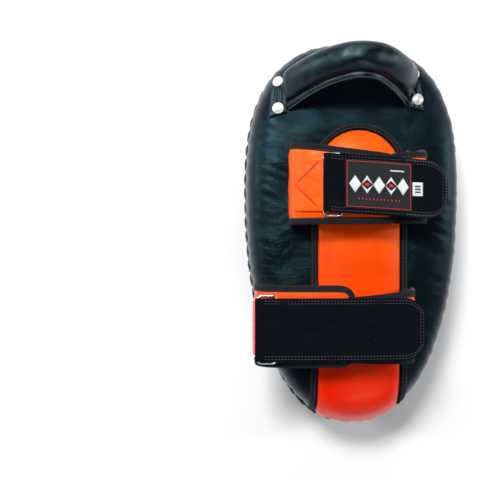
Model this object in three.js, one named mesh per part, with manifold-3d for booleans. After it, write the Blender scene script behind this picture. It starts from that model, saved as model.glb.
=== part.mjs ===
// A Thai pad: the thick forearm pad that a trainer holds for kicks, knees and punches.
// It lies on its striking face. Millimetres, +Z points to the arm side, +Y to the hand grip,
// and the origin is the middle of the flat striking face.
import * as THREE from "three";
import { mergeVertices } from "three/addons/utils/BufferGeometryUtils.js";
import Module from "manifold-3d";

const wasm = await Module();
wasm.setup();

// ---- driving dimensions -------------------------------------------------------------------
// the pad's outline is an egg: two half superellipses that meet where it is widest
const padHalfWidth = 106;
const widestY = 45;
const topReach = 145;
const topPower = 2.6;
const bottomReach = 235;
const bottomPower = 2.25;
const outlineSteps = 48;

// heights of the pad's own section, and how it rounds over at the back and at the face
const backHeight = 100;
const seamHeight = 56;
const seamGap = 5;
const shoulderShare = 0.62;
const shoulderPower = 3.6;
const shoulderSteps = 6;
const faceShare = 0.86;
const faceCornerHeight = 36;
const faceSteps = 4;

const leather = 1.8;
const gap = 0.3;
const strikeFoamTop = 28;
const middleFoamTop = 60;

// the cushion that the forearm rests on
const cushionMiddleX = 4;
const cushionHalfWidth = 41;
const cushionArchY = 60;
const cushionArchReach = 41.5;
const cushionRise = 13;
const bindingWidth = 6;
const bindingRise = 4.5;

// the hand grip
const gripHalfWidth = 15;
const gripHalfHeight = 13;
const weltWidth = 4;
const tabThickness = 3;
const rivetRadius = 5.5;
const tabs = {
  left: {
    corners: [[-84, 112], [-66, 117], [-66, 157], [-79, 152.5]],
    rivets: { lower: [-74.5, 121.5], upper: [-73.5, 147.5] },
  },
  right: {
    corners: [[51, 123], [67.5, 118.5], [64.5, 143], [56, 163.5], [50, 163]],
    rivets: { lower: [60.5, 130], upper: [57, 155] },
  },
};

// the cuffs: padded flaps, wire rings and straps
const flapThickness = 7;
const underFlapThickness = 6;
const edgeTape = 3;
const wire = 2.8;
const ringWidth = 19;
const strapThickness = 3.2;
const patchThickness = 1;
const labelThickness = 0.8;

// ---- finishes -----------------------------------------------------------------------------
const finish = (color, roughness, metalness = 0) =>
  new THREE.MeshStandardMaterial({ color, roughness, metalness });
const blackLeather = finish(0x10181d, 0.42);
const orangeLeather = finish(0xf4581c, 0.38);
const blackTape = finish(0x0d1114, 0.85);
const blackWebbing = finish(0x0b0f13, 0.9);
const lacingCord = finish(0x090b0d, 0.7);
const foam = finish(0x8f9396, 0.95);
const steel = finish(0xd9dcdd, 0.25, 1);
const rivetMetal = finish(0xdcd9cf, 0.35, 1);
const labelCloth = finish(0x11151a, 0.8);
const tagCloth = finish(0xe6e7e8, 0.8);

// ---- solids -------------------------------------------------------------------------------
const pad = new THREE.Group();

function toSolid(geometry) {
  const bare = new THREE.BufferGeometry();
  bare.setAttribute("position", geometry.getAttribute("position"));
  bare.setIndex(geometry.getIndex());
  const merged = mergeVertices(bare, 1e-3);
  const corners = merged.getIndex().array;
  const triangles = [];
  for (let i = 0; i < corners.length; i += 3) {
    const [a, b, c] = corners.slice(i, i + 3);
    if (a !== b && b !== c && c !== a) triangles.push(a, b, c);
  }
  return new wasm.Manifold(new wasm.Mesh({
    numProp: 3,
    vertProperties: new Float32Array(merged.getAttribute("position").array),
    triVerts: new Uint32Array(triangles),
  }));
}

function toGeometry(solid) {
  const mesh = solid.getMesh();
  const geometry = new THREE.BufferGeometry();
  geometry.setAttribute("position", new THREE.BufferAttribute(mesh.vertProperties, 3));
  geometry.setIndex(new THREE.BufferAttribute(mesh.triVerts, 1));
  geometry.computeVertexNormals();
  return geometry;
}

function add(name, solid, material) {
  const mesh = new THREE.Mesh(toGeometry(solid), material);
  mesh.name = name;
  pad.add(mesh);
}

// ---- the egg outline and the shape of the back --------------------------------------------
const signedPower = (value, power) => Math.sign(value) * Math.abs(value) ** power;

// a point of the outline drawn in by `share` about the widest line and let out by `grow`
function outlinePoint(angle, share, grow) {
  const upper = Math.sin(angle) >= 0;
  const reach = upper ? topReach : bottomReach;
  const power = 2 / (upper ? topPower : bottomPower);
  const x = (share * padHalfWidth + grow) * signedPower(Math.cos(angle), power);
  const y = widestY + (share * reach + grow) * signedPower(Math.sin(angle), power);
  return [x, y];
}

function shareAt(x, y) {
  const upper = y >= widestY;
  const reach = upper ? topReach : bottomReach;
  const power = upper ? topPower : bottomPower;
  const across = Math.abs(x / padHalfWidth) ** power;
  const along = Math.abs((y - widestY) / reach) ** power;
  return (across + along) ** (1 / power);
}

// height of the back where the outline is drawn in by `share`: flat, then rounded over to the seam
function backAtShare(share) {
  const over = Math.max(0, (share - shoulderShare) / (1 - shoulderShare));
  const fall = Math.max(0, 1 - over ** shoulderPower) ** (1 / shoulderPower);
  return seamHeight + (backHeight - seamHeight) * fall;
}

const backAt = (x, y) => backAtShare(Math.min(1, shareAt(x, y)));

// a solid of egg-shaped levels. Each level is [share, z, grow], from the lowest outwards and up
function eggSolid(levels) {
  const profile = levels.map(([share, z]) => new THREE.Vector2(Math.max(share, 0), z));
  const geometry = new THREE.LatheGeometry(profile, outlineSteps);
  const position = geometry.getAttribute("position");
  for (let i = 0; i <= outlineSteps; i += 1) {
    const angle = ((i % outlineSteps) / outlineSteps) * 2 * Math.PI;
    levels.forEach(([share, z, grow = 0], j) => {
      const [x, y] = share > 0 ? outlinePoint(angle, share, grow) : [0, widestY];
      position.setXYZ(i * levels.length + j, x, y, z);
    });
  }
  return toSolid(geometry);
}

// levels of the back from the seam up to its middle, raised by `rise` and let out by `edge`
function backLevels(rise, edge, lowest) {
  const levels = [];
  for (let i = 0; i <= shoulderSteps; i += 1) {
    const turn = (i / shoulderSteps) * (Math.PI / 2);
    const over = Math.cos(turn) ** (2 / shoulderPower);
    const share = shoulderShare + (1 - shoulderShare) * over;
    const lift = edge + (rise - edge) * Math.sin(turn);
    const z = Math.max(lowest, backAtShare(share) + lift * Math.sin(turn));
    levels.push([share, z, lift * over ** 2]);
  }
  levels.push([shoulderShare / 2, backHeight + rise, 0]);
  levels.push([0, backHeight + rise, 0]);
  return levels;
}

// everything under a surface that lies `rise` above the back and `edge` outside the seam
const underBack = (rise, edge = rise, lowest = seamHeight + seamGap / 2 + gap) =>
  eggSolid([[0, lowest, 0], [1, lowest, edge], ...backLevels(rise, edge, lowest)]);

// levels of the striking side, from the flat face up to the seam, drawn in by `inset`
function faceLevels(inset) {
  const levels = [[0, inset, 0]];
  for (let i = 0; i <= faceSteps; i += 1) {
    const turn = (i / faceSteps) * (Math.PI / 2);
    const share = faceShare + (1 - faceShare) * Math.sin(turn);
    const z = faceCornerHeight * (1 - Math.cos(turn));
    levels.push([share, Math.max(z, inset), -inset]);
  }
  return levels;
}

// ---- prisms and bent strips ---------------------------------------------------------------
// a plan shape (x, y) raised between two heights
function plate(shape, low, high, curveSegments = 8) {
  const geometry = new THREE.ExtrudeGeometry(
    shape, { depth: high - low, bevelEnabled: false, curveSegments });
  geometry.translate(0, 0, low);
  return toSolid(geometry);
}

// a side shape (x, z) drawn out along Y
function drawnAlongY(shape, low, high) {
  const geometry = new THREE.ExtrudeGeometry(shape, { depth: high - low, bevelEnabled: false });
  geometry.rotateX(Math.PI / 2);
  geometry.translate(0, high, 0);
  return toSolid(geometry);
}

// a strip of even thickness along a centreline of [x, z] points, with round ends.
// `offset` moves it to the left of the direction of travel.
function stripShape(centreline, thickness, offset = 0) {
  const curve = new THREE.SplineCurve(centreline.map(([x, z]) => new THREE.Vector2(x, z)));
  const steps = centreline.length * 2;
  const half = thickness / 2;
  const left = [];
  const right = [];
  const ends = [];
  for (let i = 0; i <= steps; i += 1) {
    const at = curve.getPointAt(i / steps);
    const way = curve.getTangentAt(i / steps);
    const normal = new THREE.Vector2(-way.y, way.x);
    at.addScaledVector(normal, offset);
    left.push(at.clone().addScaledVector(normal, half));
    right.push(at.clone().addScaledVector(normal, -half));
    if (i === 0 || i === steps) ends.push({ at, way, normal });
  }
  const cap = ({ at, way, normal }, side) =>
    [1, 2, 3].map((n) => {
      const turn = (n / 4) * Math.PI;
      return at.clone()
        .addScaledVector(normal, -side * half * Math.cos(turn))
        .addScaledVector(way, side * half * Math.sin(turn));
    });
  return new THREE.Shape([
    ...right, ...cap(ends[1], 1), ...left.reverse(), ...cap(ends[0], -1),
  ]);
}

const strip = (centreline, thickness, low, high, offset = 0) =>
  drawnAlongY(stripShape(centreline, thickness, offset), low, high);

const rectangle = (left, right, low, high) =>
  new THREE.Shape([
    new THREE.Vector2(left, low), new THREE.Vector2(right, low),
    new THREE.Vector2(right, high), new THREE.Vector2(left, high),
  ]);

function roundedRectangle(x0, x1, y0, y1, corner) {
  const shape = new THREE.Shape();
  shape.absarc(x1 - corner, y0 + corner, corner, -Math.PI / 2, 0);
  shape.absarc(x1 - corner, y1 - corner, corner, 0, Math.PI / 2);
  shape.absarc(x0 + corner, y1 - corner, corner, Math.PI / 2, Math.PI);
  shape.absarc(x0 + corner, y0 + corner, corner, Math.PI, (3 * Math.PI) / 2);
  return shape;
}

const box = (left, right, near, far, low, high) => plate(rectangle(left, right, near, far), low, high);

// a straight piece, drawn along Y from 0 to 1, bent to follow a curve through space
function bentAlong(geometry, curve, heightAt) {
  const position = geometry.getAttribute("position");
  const up = new THREE.Vector3(0, 0, 1);
  for (let i = 0; i < position.count; i += 1) {
    const share = Math.min(1, Math.max(0, position.getY(i)));
    const at = curve.getPointAt(share);
    const way = curve.getTangentAt(share);
    const side = new THREE.Vector3().crossVectors(way, up).normalize();
    const over = new THREE.Vector3().crossVectors(side, way);
    at.addScaledVector(side, position.getX(i));
    at.addScaledVector(over, position.getZ(i) * heightAt(share));
    position.setXYZ(i, at.x, at.y, at.z);
  }
  return toSolid(geometry);
}

// ---- rivets through the hand grip's tabs --------------------------------------------------
const rivets = Object.entries(tabs).flatMap(([side, tab]) =>
  Object.entries(tab.rivets).map(([row, [x, y]]) => {
    const step = 2;
    const slopeX = (backAt(x + step, y) - backAt(x - step, y)) / (2 * step);
    const slopeY = (backAt(x, y + step) - backAt(x, y - step)) / (2 * step);
    return {
      name: `${side}_${row}`,
      at: new THREE.Vector3(x, y, backAt(x, y)),
      way: new THREE.Vector3(-slopeX, -slopeY, 1).normalize(),
    };
  }));

// a turned piece, set on the back along the rivet's own axis
function onRivet({ at, way }, profile) {
  const geometry = new THREE.LatheGeometry(profile.map(([r, h]) => new THREE.Vector2(r, h)), 12);
  const turn = new THREE.Quaternion().setFromUnitVectors(new THREE.Vector3(0, 1, 0), way);
  geometry.applyQuaternion(turn);
  geometry.translate(at.x, at.y, at.z);
  return toSolid(geometry);
}

const shankRadius = 1.6;
const shankHole = [[0, -14], [shankRadius + gap, -14], [shankRadius + gap, 6], [0, 6]];
const washerPocket = [[0, -14], [6, -14], [6, -leather], [0, -leather]];

// ---- the pad's body: three foam blocks in a laced leather jacket --------------------------
const seamLow = seamHeight - seamGap / 2;
const seamHigh = seamHeight + seamGap / 2;
const lining = leather + gap;

add("strike_cover", eggSolid([
  ...faceLevels(0), [1, seamLow - gap, 0],
  [1, seamLow - gap, -leather], ...faceLevels(leather).reverse(),
]), blackLeather);

let backCover = underBack(0, 0, seamHigh + gap)
  .subtract(eggSolid([
    [0, seamHigh - 1, 0], [1, seamHigh - 1, -leather], ...backLevels(-leather, -leather, seamHigh - 1),
  ]));
let armFoam = eggSolid([
  [0, middleFoamTop + gap, 0], [1, middleFoamTop + gap, -lining],
  ...backLevels(-lining, -lining, middleFoamTop + gap),
]);
rivets.forEach((rivet) => {
  backCover = backCover.subtract(onRivet(rivet, shankHole)).subtract(onRivet(rivet, washerPocket));
  armFoam = armFoam.subtract(onRivet(rivet, washerPocket));
});
add("back_cover", backCover, blackLeather);
add("arm_foam", armFoam, foam);

add("strike_foam", eggSolid([
  ...faceLevels(lining).filter(([, z]) => z < strikeFoamTop - 2),
  [0.985, strikeFoamTop, -lining], [0, strikeFoamTop, 0],
]), foam);
add("middle_foam", eggSolid([
  [0, strikeFoamTop + gap, 0], [0.985, strikeFoamTop + gap, -lining],
  [0.97, middleFoamTop, -lining], [0, middleFoamTop, 0],
]), foam);

add("edge_lacing", eggSolid([
  [1, seamLow, -4], [1, seamLow, 0.6], [1, seamHigh, 0.6], [1, seamHigh, -4], [1, seamLow, -4],
]), lacingCord);

// ---- the forearm cushion: foam under an arched leather cover with a bound edge ------------
function archPlan(margin) {
  const shape = new THREE.Shape();
  const half = cushionHalfWidth + margin;
  const foot = -bottomReach;
  shape.moveTo(cushionMiddleX - half, foot);
  shape.lineTo(cushionMiddleX + half, foot);
  shape.absellipse(cushionMiddleX, cushionArchY, half, cushionArchReach + margin, 0, Math.PI);
  return plate(shape, 0, backHeight + 40);
}

const cushionEdge = 3.5;
const aboveBack = underBack(gap, gap, seamHigh);
add("arm_pad_foam", underBack(cushionRise - leather, cushionEdge - leather, seamHigh + gap)
  .intersect(archPlan(-lining)).subtract(aboveBack), foam);
add("arm_pad_cover", underBack(cushionRise, cushionEdge)
  .intersect(archPlan(0)).subtract(aboveBack)
  .subtract(underBack(cushionRise - leather + gap, cushionEdge - leather + gap, seamHigh - 1)
    .intersect(archPlan(-leather))), orangeLeather);
add("arm_pad_binding", underBack(bindingRise, cushionEdge)
  .intersect(archPlan(bindingWidth)).subtract(archPlan(gap)).subtract(aboveBack), blackTape);

// ---- the hand grip: a padded roll over a webbing core, on two riveted tabs ----------------
const gripLine = new THREE.CatmullRomCurve3([
  [-68, 139.5, 107], [-53, 147.5, 122], [-31, 155.5, 141], [-4, 160, 152],
  [19, 158, 148], [38, 150.5, 133], [54, 142.5, 108.5],
].map((p) => new THREE.Vector3(...p)));
const gripHeight = (share) => 0.4 + 0.6 * Math.sin(Math.PI * share) ** 0.6;
const gripSteps = 12;
const gripSides = 12;

// an oval tube with a given wall, or a full oval where the wall reaches the middle
function gripTube(outer, inner) {
  const profile = [];
  for (let i = 0; i <= gripSteps; i += 1) profile.push(new THREE.Vector2(outer, i / gripSteps));
  for (let i = gripSteps; i >= 0; i -= 1) profile.push(new THREE.Vector2(inner, i / gripSteps));
  profile.push(profile[0].clone());
  const tube = new THREE.LatheGeometry(profile, gripSides);
  tube.scale(gripHalfWidth, 1, gripHalfHeight);
  return bentAlong(tube, gripLine, gripHeight);
}

// a flat band along the grip, `middle` and `height` from its centreline
function gripBand(middle, height, width, thickness) {
  const band = new THREE.BoxGeometry(width, 1, thickness, 1, gripSteps, 1);
  band.translate(middle, 0.5, height);
  return bentAlong(band, gripLine, gripHeight);
}

add("handle_cover", gripTube(1, 0.86), blackLeather);
add("handle_foam", gripTube(0.8, 0.42), foam);
add("handle_core", gripBand(0, 0, 8, 3), blackWebbing);
add("handle_welt", gripBand(gripHalfWidth + weltWidth / 2 + 2 * gap, 0, weltWidth, 2.4), blackLeather);

const tabLayer = underBack(tabThickness + gap).subtract(aboveBack);
Object.entries(tabs).forEach(([side, { corners }]) => {
  const outline = new THREE.Shape(corners.map(([x, y]) => new THREE.Vector2(x, y)));
  let tab = tabLayer.intersect(plate(outline, 0, 140));
  rivets.forEach((rivet) => {
    tab = tab.subtract(onRivet(rivet, shankHole));
  });
  add(`handle_tab_${side}`, tab, blackLeather);
});

const headBase = tabThickness + 3 * gap;
const washerTop = -leather - gap;
rivets.forEach((rivet) => {
  add(`rivet_${rivet.name}`, onRivet(rivet, [
    [0, washerTop - 2.2], [shankRadius, washerTop - 2.2], [shankRadius, headBase],
    [rivetRadius, headBase], [rivetRadius - 0.4, headBase + 0.9], [rivetRadius - 2.2, headBase + 1.6],
    [0, headBase + 1.8],
  ]), rivetMetal);
  add(`washer_${rivet.name}`, onRivet(rivet, [
    [shankRadius + gap, washerTop - 1.2], [5, washerTop - 1.2], [5, washerTop],
    [shankRadius + gap, washerTop], [shankRadius + gap, washerTop - 1.2],
  ]), rivetMetal);
});

// ---- the cuffs ----------------------------------------------------------------------------
// Each cuff has a ring flap on the left and a strap flap on the right. The ring flap lies over
// the strap flap, its wire ring hangs in a keeper, and the strap folds back from the ring and
// grips the strap flap with hook and loop. All centrelines are [x, z] and start at the hinge.
const cuffs = {
  upper: {
    ringFlap: [
      [-54, 104.5], [-60.5, 110], [-62, 120], [-57, 131], [-44, 137.5], [-20, 139.5],
      [5, 140], [20, 139.5], [32, 138.5],
    ],
    ringFlapLow: 8,
    ringFlapHigh: 84,
    ringFlapSlope: 0.13,
    strapFlap: [
      [55, 104.5], [61, 110], [62.4, 120], [60, 130], [54, 136], [46, 136.5], [38, 132.5],
      [26, 130.5],
    ],
    strapFlapLow: 9,
    strapFlapHigh: 76,
    strapFlapSlope: -0.06,
    keeper: [[-61, 134.5], [-53, 140.6], [-45, 143.2], [-37.5, 145]],
    keeperLow: 20,
    keeperHigh: 69,
    barX: -34.6,
    barZ: 147,
    ringLow: 14.8,
    ringHigh: 73.8,
    strap: [[-32.4, 152.2], [-10, 152.4], [12, 152], [32, 150.8], [50, 147], [66, 142], [81, 137.5]],
    strapMiddle: 46,
    strapHalf: 27,
    strapFallY: 0.062,
    hookFrom: 44,
    hookTo: 76,
    loopFrom: 44,
    loopTo: 60,
  },
  lower: {
    ringFlap: [
      [-86, 102], [-93, 107], [-95, 117], [-93.5, 128], [-88, 135], [-78, 138.6], [-60, 140],
      [-30, 140.8], [-5, 140.5],
    ],
    ringFlapLow: -125,
    ringFlapHigh: -49,
    ringFlapSlope: 0,
    strapFlap: [
      [48.8, 110.5], [50.8, 118], [49.8, 127], [44, 134], [33, 137.5], [18, 138.5], [4, 135.5],
      [-6, 131.5], [-16, 130.5],
    ],
    strapFlapLow: -122,
    strapFlapHigh: -54,
    strapFlapSlope: -0.12,
    keeper: [[-100.2, 116], [-100.4, 126], [-100.2, 136], [-99.4, 141.4], [-97.6, 144.6]],
    keeperLow: -113,
    keeperHigh: -65,
    barX: -95.4,
    barZ: 147,
    ringLow: -121,
    ringHigh: -57,
    strap: [[-93.2, 152.2], [-70, 152.2], [-40, 151.6], [-10, 150.6], [15, 149], [38, 145.5], [60, 140.5]],
    strapMiddle: -89,
    strapHalf: 29,
    strapFallY: 0,
    hookFrom: 12,
    hookTo: 50,
    loopFrom: 10,
    loopTo: 44,
  },
};

// the strap seen from above: straight sides that fall away by `strapFallY` and a round tip
function strapPlan(cuff, from, to, half) {
  const hingeX = cuff.strap[0][0];
  const middleAt = (x) => cuff.strapMiddle - cuff.strapFallY * (x - hingeX);
  const shape = new THREE.Shape();
  const shoulder = to - 22;
  shape.moveTo(from, middleAt(from) - half);
  shape.lineTo(shoulder, middleAt(shoulder) - half);
  shape.bezierCurveTo(
    to - 6, middleAt(to) - half, to, middleAt(to) - half * 0.55, to, middleAt(to));
  shape.bezierCurveTo(
    to, middleAt(to) + half * 0.55, to - 6, middleAt(to) + half, shoulder, middleAt(shoulder) + half);
  shape.lineTo(from, middleAt(from) + half);
  return plate(shape, 90, 200);
}

// a flap and the tape around its three free edges. Its far edge falls by `slope` to the right
function addFlap(name, centreline, thickness, low, high, slope) {
  const hingeX = centreline[0][0];
  const [endX, endZ] = centreline[centreline.length - 1];
  const side = Math.sign(endX - hingeX);
  const farEdge = (x, inset) => high - slope * (x - hingeX) - inset;
  const plan = (inset) => plate(new THREE.Shape([
    new THREE.Vector2(-padHalfWidth, low + inset), new THREE.Vector2(padHalfWidth, low + inset),
    new THREE.Vector2(padHalfWidth, farEdge(padHalfWidth, inset)),
    new THREE.Vector2(-padHalfWidth, farEdge(-padHalfWidth, inset)),
  ]), 90, 200);
  const beyond = (from) => box(Math.min(from, from + side * 30), Math.max(from, from + side * 30),
    low - 5, high + 30, endZ - 12, endZ + 12);
  const shape = (extra, inset) =>
    strip(centreline, thickness + extra, low - 30, high + 30).intersect(plan(inset));
  const tapeStart = endX - side * edgeTape * 0.4;
  add(name, shape(0, edgeTape + gap).subtract(beyond(tapeStart - side * gap)), orangeLeather);
  add(`${name}_tape`, shape(0, 0).subtract(shape(4, edgeTape).subtract(beyond(tapeStart))), blackTape);
}

// the wire ring: a flat frame with round corners
function wireRing(cuff) {
  const left = cuff.barX - wire / 2;
  const frame = (inset, corner) => roundedRectangle(left + inset, left + ringWidth - inset,
    cuff.ringLow + inset, cuff.ringHigh - inset, corner);
  const outline = frame(0, 5);
  outline.holes.push(frame(wire, 2.5));
  const geometry = new THREE.ExtrudeGeometry(
    outline, { depth: wire, bevelEnabled: false, curveSegments: 4 });
  geometry.translate(0, 0, cuff.barZ - wire / 2);
  return toSolid(geometry);
}

// the keeper: a leather tab whose end hugs the ring's near bar and leaves its crest open
function ringKeeper(cuff) {
  const channel = (radius) => {
    const shape = new THREE.Shape();
    shape.absarc(cuff.barX, cuff.barZ, radius, 0, 2 * Math.PI);
    return shape;
  };
  const rod = (radius, low, high) => {
    const geometry = new THREE.ExtrudeGeometry(
      channel(radius), { depth: high - low, bevelEnabled: false, curveSegments: 8 });
    geometry.rotateX(Math.PI / 2);
    geometry.translate(0, high, 0);
    return toSolid(geometry);
  };
  const slot = box(cuff.barX - 1.1, cuff.barX + 1.1, cuff.keeperLow - 1, cuff.keeperHigh + 1,
    cuff.barZ, cuff.barZ + 8);
  return strip(cuff.keeper, 1.5, cuff.keeperLow, cuff.keeperHigh)
    .add(rod(3.5, cuff.keeperLow, cuff.keeperHigh))
    .subtract(rod(2.35, cuff.keeperLow - 1, cuff.keeperHigh + 1))
    .subtract(slot);
}

// the strap's sewn return around the ring's far bar
function strapLoop(cuff) {
  const farBar = cuff.barX + ringWidth - wire;
  const long = (margin) => {
    const shape = new THREE.Shape();
    shape.absarc(farBar, cuff.barZ, margin, -Math.PI / 2, Math.PI / 2);
    shape.absarc(farBar - 9, cuff.barZ, margin, Math.PI / 2, (3 * Math.PI) / 2);
    return shape;
  };
  const outline = long(3.1);
  outline.holes.push(long(2.1));
  const middle = (cuff.ringLow + cuff.ringHigh) / 2;
  const half = (cuff.ringHigh - cuff.ringLow) / 2 - wire - 1;
  const geometry = new THREE.ExtrudeGeometry(
    outline, { depth: 2 * half, bevelEnabled: false, curveSegments: 5 });
  geometry.rotateX(Math.PI / 2);
  geometry.translate(0, middle + half, 0);
  return toSolid(geometry);
}

Object.entries(cuffs).forEach(([name, cuff]) => {
  addFlap(`${name}_ring_flap`, cuff.ringFlap, flapThickness,
    cuff.ringFlapLow, cuff.ringFlapHigh, cuff.ringFlapSlope);
  addFlap(`${name}_strap_flap`, cuff.strapFlap, underFlapThickness,
    cuff.strapFlapLow, cuff.strapFlapHigh, cuff.strapFlapSlope);
  add(`${name}_keeper`, ringKeeper(cuff), orangeLeather);
  add(`${name}_ring`, wireRing(cuff), steel);
  add(`${name}_strap_loop`, strapLoop(cuff), blackWebbing);

  // the strap and the hook patch under its tip
  const low = cuff.strapMiddle - 60;
  const high = cuff.strapMiddle + 60;
  const [hingeX] = cuff.strap[0];
  const [tipX] = cuff.strap[cuff.strap.length - 1];
  add(`${name}_strap`, strip(cuff.strap, strapThickness, low, high)
    .intersect(strapPlan(cuff, hingeX - 5, tipX + 1.6, cuff.strapHalf)), blackWebbing);
  add(`${name}_hook_patch`,
    strip(cuff.strap, patchThickness, low, high, -(strapThickness + patchThickness) / 2 - gap)
      .intersect(strapPlan(cuff, cuff.hookFrom, cuff.hookTo, cuff.strapHalf - 4)), blackTape);

  // the loop patch on the strap flap, on the side that the strap meets
  add(`${name}_loop_patch`,
    strip(cuff.strapFlap, patchThickness, low, high, -(underFlapThickness + patchThickness) / 2 - gap)
      .intersect(box(cuff.loopFrom, cuff.loopTo, cuff.strapFlapLow + 12, cuff.strapFlapHigh - 12,
        128, 160)), blackTape);
});

// ---- the label and the size tag on the upper strap ----------------------------------------
const labelLeft = -16;
const labelRight = 44.5;
const labelHalf = 22;
const tagLeft = 45;
const tagRight = 55;
const tagLow = 33.5;
const tagHigh = 46;
const onStrap = (strapThickness + labelThickness) / 2 + gap;
const strapSkin = strip(cuffs.upper.strap, labelThickness, 0, 100, onStrap);

function slantedPlate(left, right, low, high, fall) {
  const drop = fall * (right - left);
  return plate(new THREE.Shape([
    new THREE.Vector2(left, low), new THREE.Vector2(right, low - drop),
    new THREE.Vector2(right, high - drop), new THREE.Vector2(left, high),
  ]), 120, 200);
}

const labelMiddle = cuffs.upper.strapMiddle
  - cuffs.upper.strapFallY * (labelLeft - cuffs.upper.strap[0][0]);
add("upper_label", strapSkin.intersect(slantedPlate(labelLeft, labelRight, labelMiddle - labelHalf,
  labelMiddle + labelHalf, cuffs.upper.strapFallY)), labelCloth);
add("upper_size_tag", strapSkin.intersect(slantedPlate(tagLeft, tagRight, tagLow, tagHigh,
  cuffs.upper.strapFallY)), tagCloth);

// ---- the lower ring flap's foot, which runs out over the pad's rounded shoulder -----------
add("lower_flap_foot", strip([[-50.8, 104.4], [-62, 104.2], [-72, 103.2], [-79.6, 102.4]],
  4.6, -121, -53).subtract(underBack(gap + 0.5)), orangeLeather);

export default pad;
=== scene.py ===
import bpy
import bmesh
import numpy as np
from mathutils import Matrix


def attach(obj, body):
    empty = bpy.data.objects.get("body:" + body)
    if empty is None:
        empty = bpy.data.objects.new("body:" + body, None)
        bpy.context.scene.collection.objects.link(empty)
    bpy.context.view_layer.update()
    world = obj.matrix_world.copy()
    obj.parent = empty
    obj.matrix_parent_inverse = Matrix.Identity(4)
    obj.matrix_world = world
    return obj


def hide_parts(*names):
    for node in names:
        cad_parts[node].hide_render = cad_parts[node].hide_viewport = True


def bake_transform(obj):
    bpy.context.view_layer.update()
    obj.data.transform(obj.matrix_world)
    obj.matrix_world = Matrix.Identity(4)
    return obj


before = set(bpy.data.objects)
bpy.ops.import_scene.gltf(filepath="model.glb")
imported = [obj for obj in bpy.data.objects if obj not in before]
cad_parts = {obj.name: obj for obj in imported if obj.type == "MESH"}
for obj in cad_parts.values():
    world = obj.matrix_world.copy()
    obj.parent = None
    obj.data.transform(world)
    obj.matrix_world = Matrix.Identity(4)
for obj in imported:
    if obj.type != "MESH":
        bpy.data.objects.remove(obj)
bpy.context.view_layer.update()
scene = bpy.context.scene
millimetre = 0.001
fullTurn = 2 * np.pi


def report(stage):
    print("thai pad:", stage)


# camera, floor and light
studio = {
    "cameraAt": (-0.1121, -0.0067, 0.902), "lens": 61.6,
    "floorHalf": 3.0, "floorColour": (0.95, 0.95, 0.955, 1),
    # the room's light by height: pale at the horizon, dark overhead
    "horizon": (0.74, 0.77, 0.79, 1), "zenith": (0.03, 0.035, 0.04, 1), "fade": (0.2, 0.42),
    # name: place, aim, size across and along, watts
    "softboxes": {
        "keyBox": ((-0.52, 0.86, 1.9), (0, 0, 0.05), 0.55, 0.4, 36.0),
        "farBox": ((-0.1, 1.45, 1.1), (-0.05, 0, 0.05), 1.2, 0.35, 9.0),
        "leftBox": ((-1.35, 0.25, 0.7), (0, 0, 0.05), 0.15, 0.9, 6.5),
        "rightBox": ((1.3, 0.25, 0.7), (0, 0, 0.05), 0.15, 0.9, 7.5),
        "nearBox": ((0.3, -0.95, 1.1), (0, 0.1, 0.1), 0.5, 0.14, 3.0),
    },
}

cameraData = bpy.data.cameras.new("camera")
cameraData.lens = studio["lens"]
cameraData.sensor_width = 36
camera = bpy.data.objects.new("camera", cameraData)
camera.location = studio["cameraAt"]
scene.collection.objects.link(camera)
scene.camera = camera
scene.view_settings.view_transform = "Standard"

for boxName, (at, aim, across, along, watts) in studio["softboxes"].items():
    lamp = bpy.data.lights.new(boxName, "AREA")
    lamp.shape, lamp.size, lamp.size_y, lamp.energy = "RECTANGLE", across, along, watts
    holder = bpy.data.objects.new(boxName, lamp)
    holder.location = at
    way = holder.location.copy()
    way.x, way.y, way.z = at[0] - aim[0], at[1] - aim[1], at[2] - aim[2]
    holder.rotation_euler = way.to_track_quat("Z", "Y").to_euler()
    scene.collection.objects.link(holder)


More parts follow.
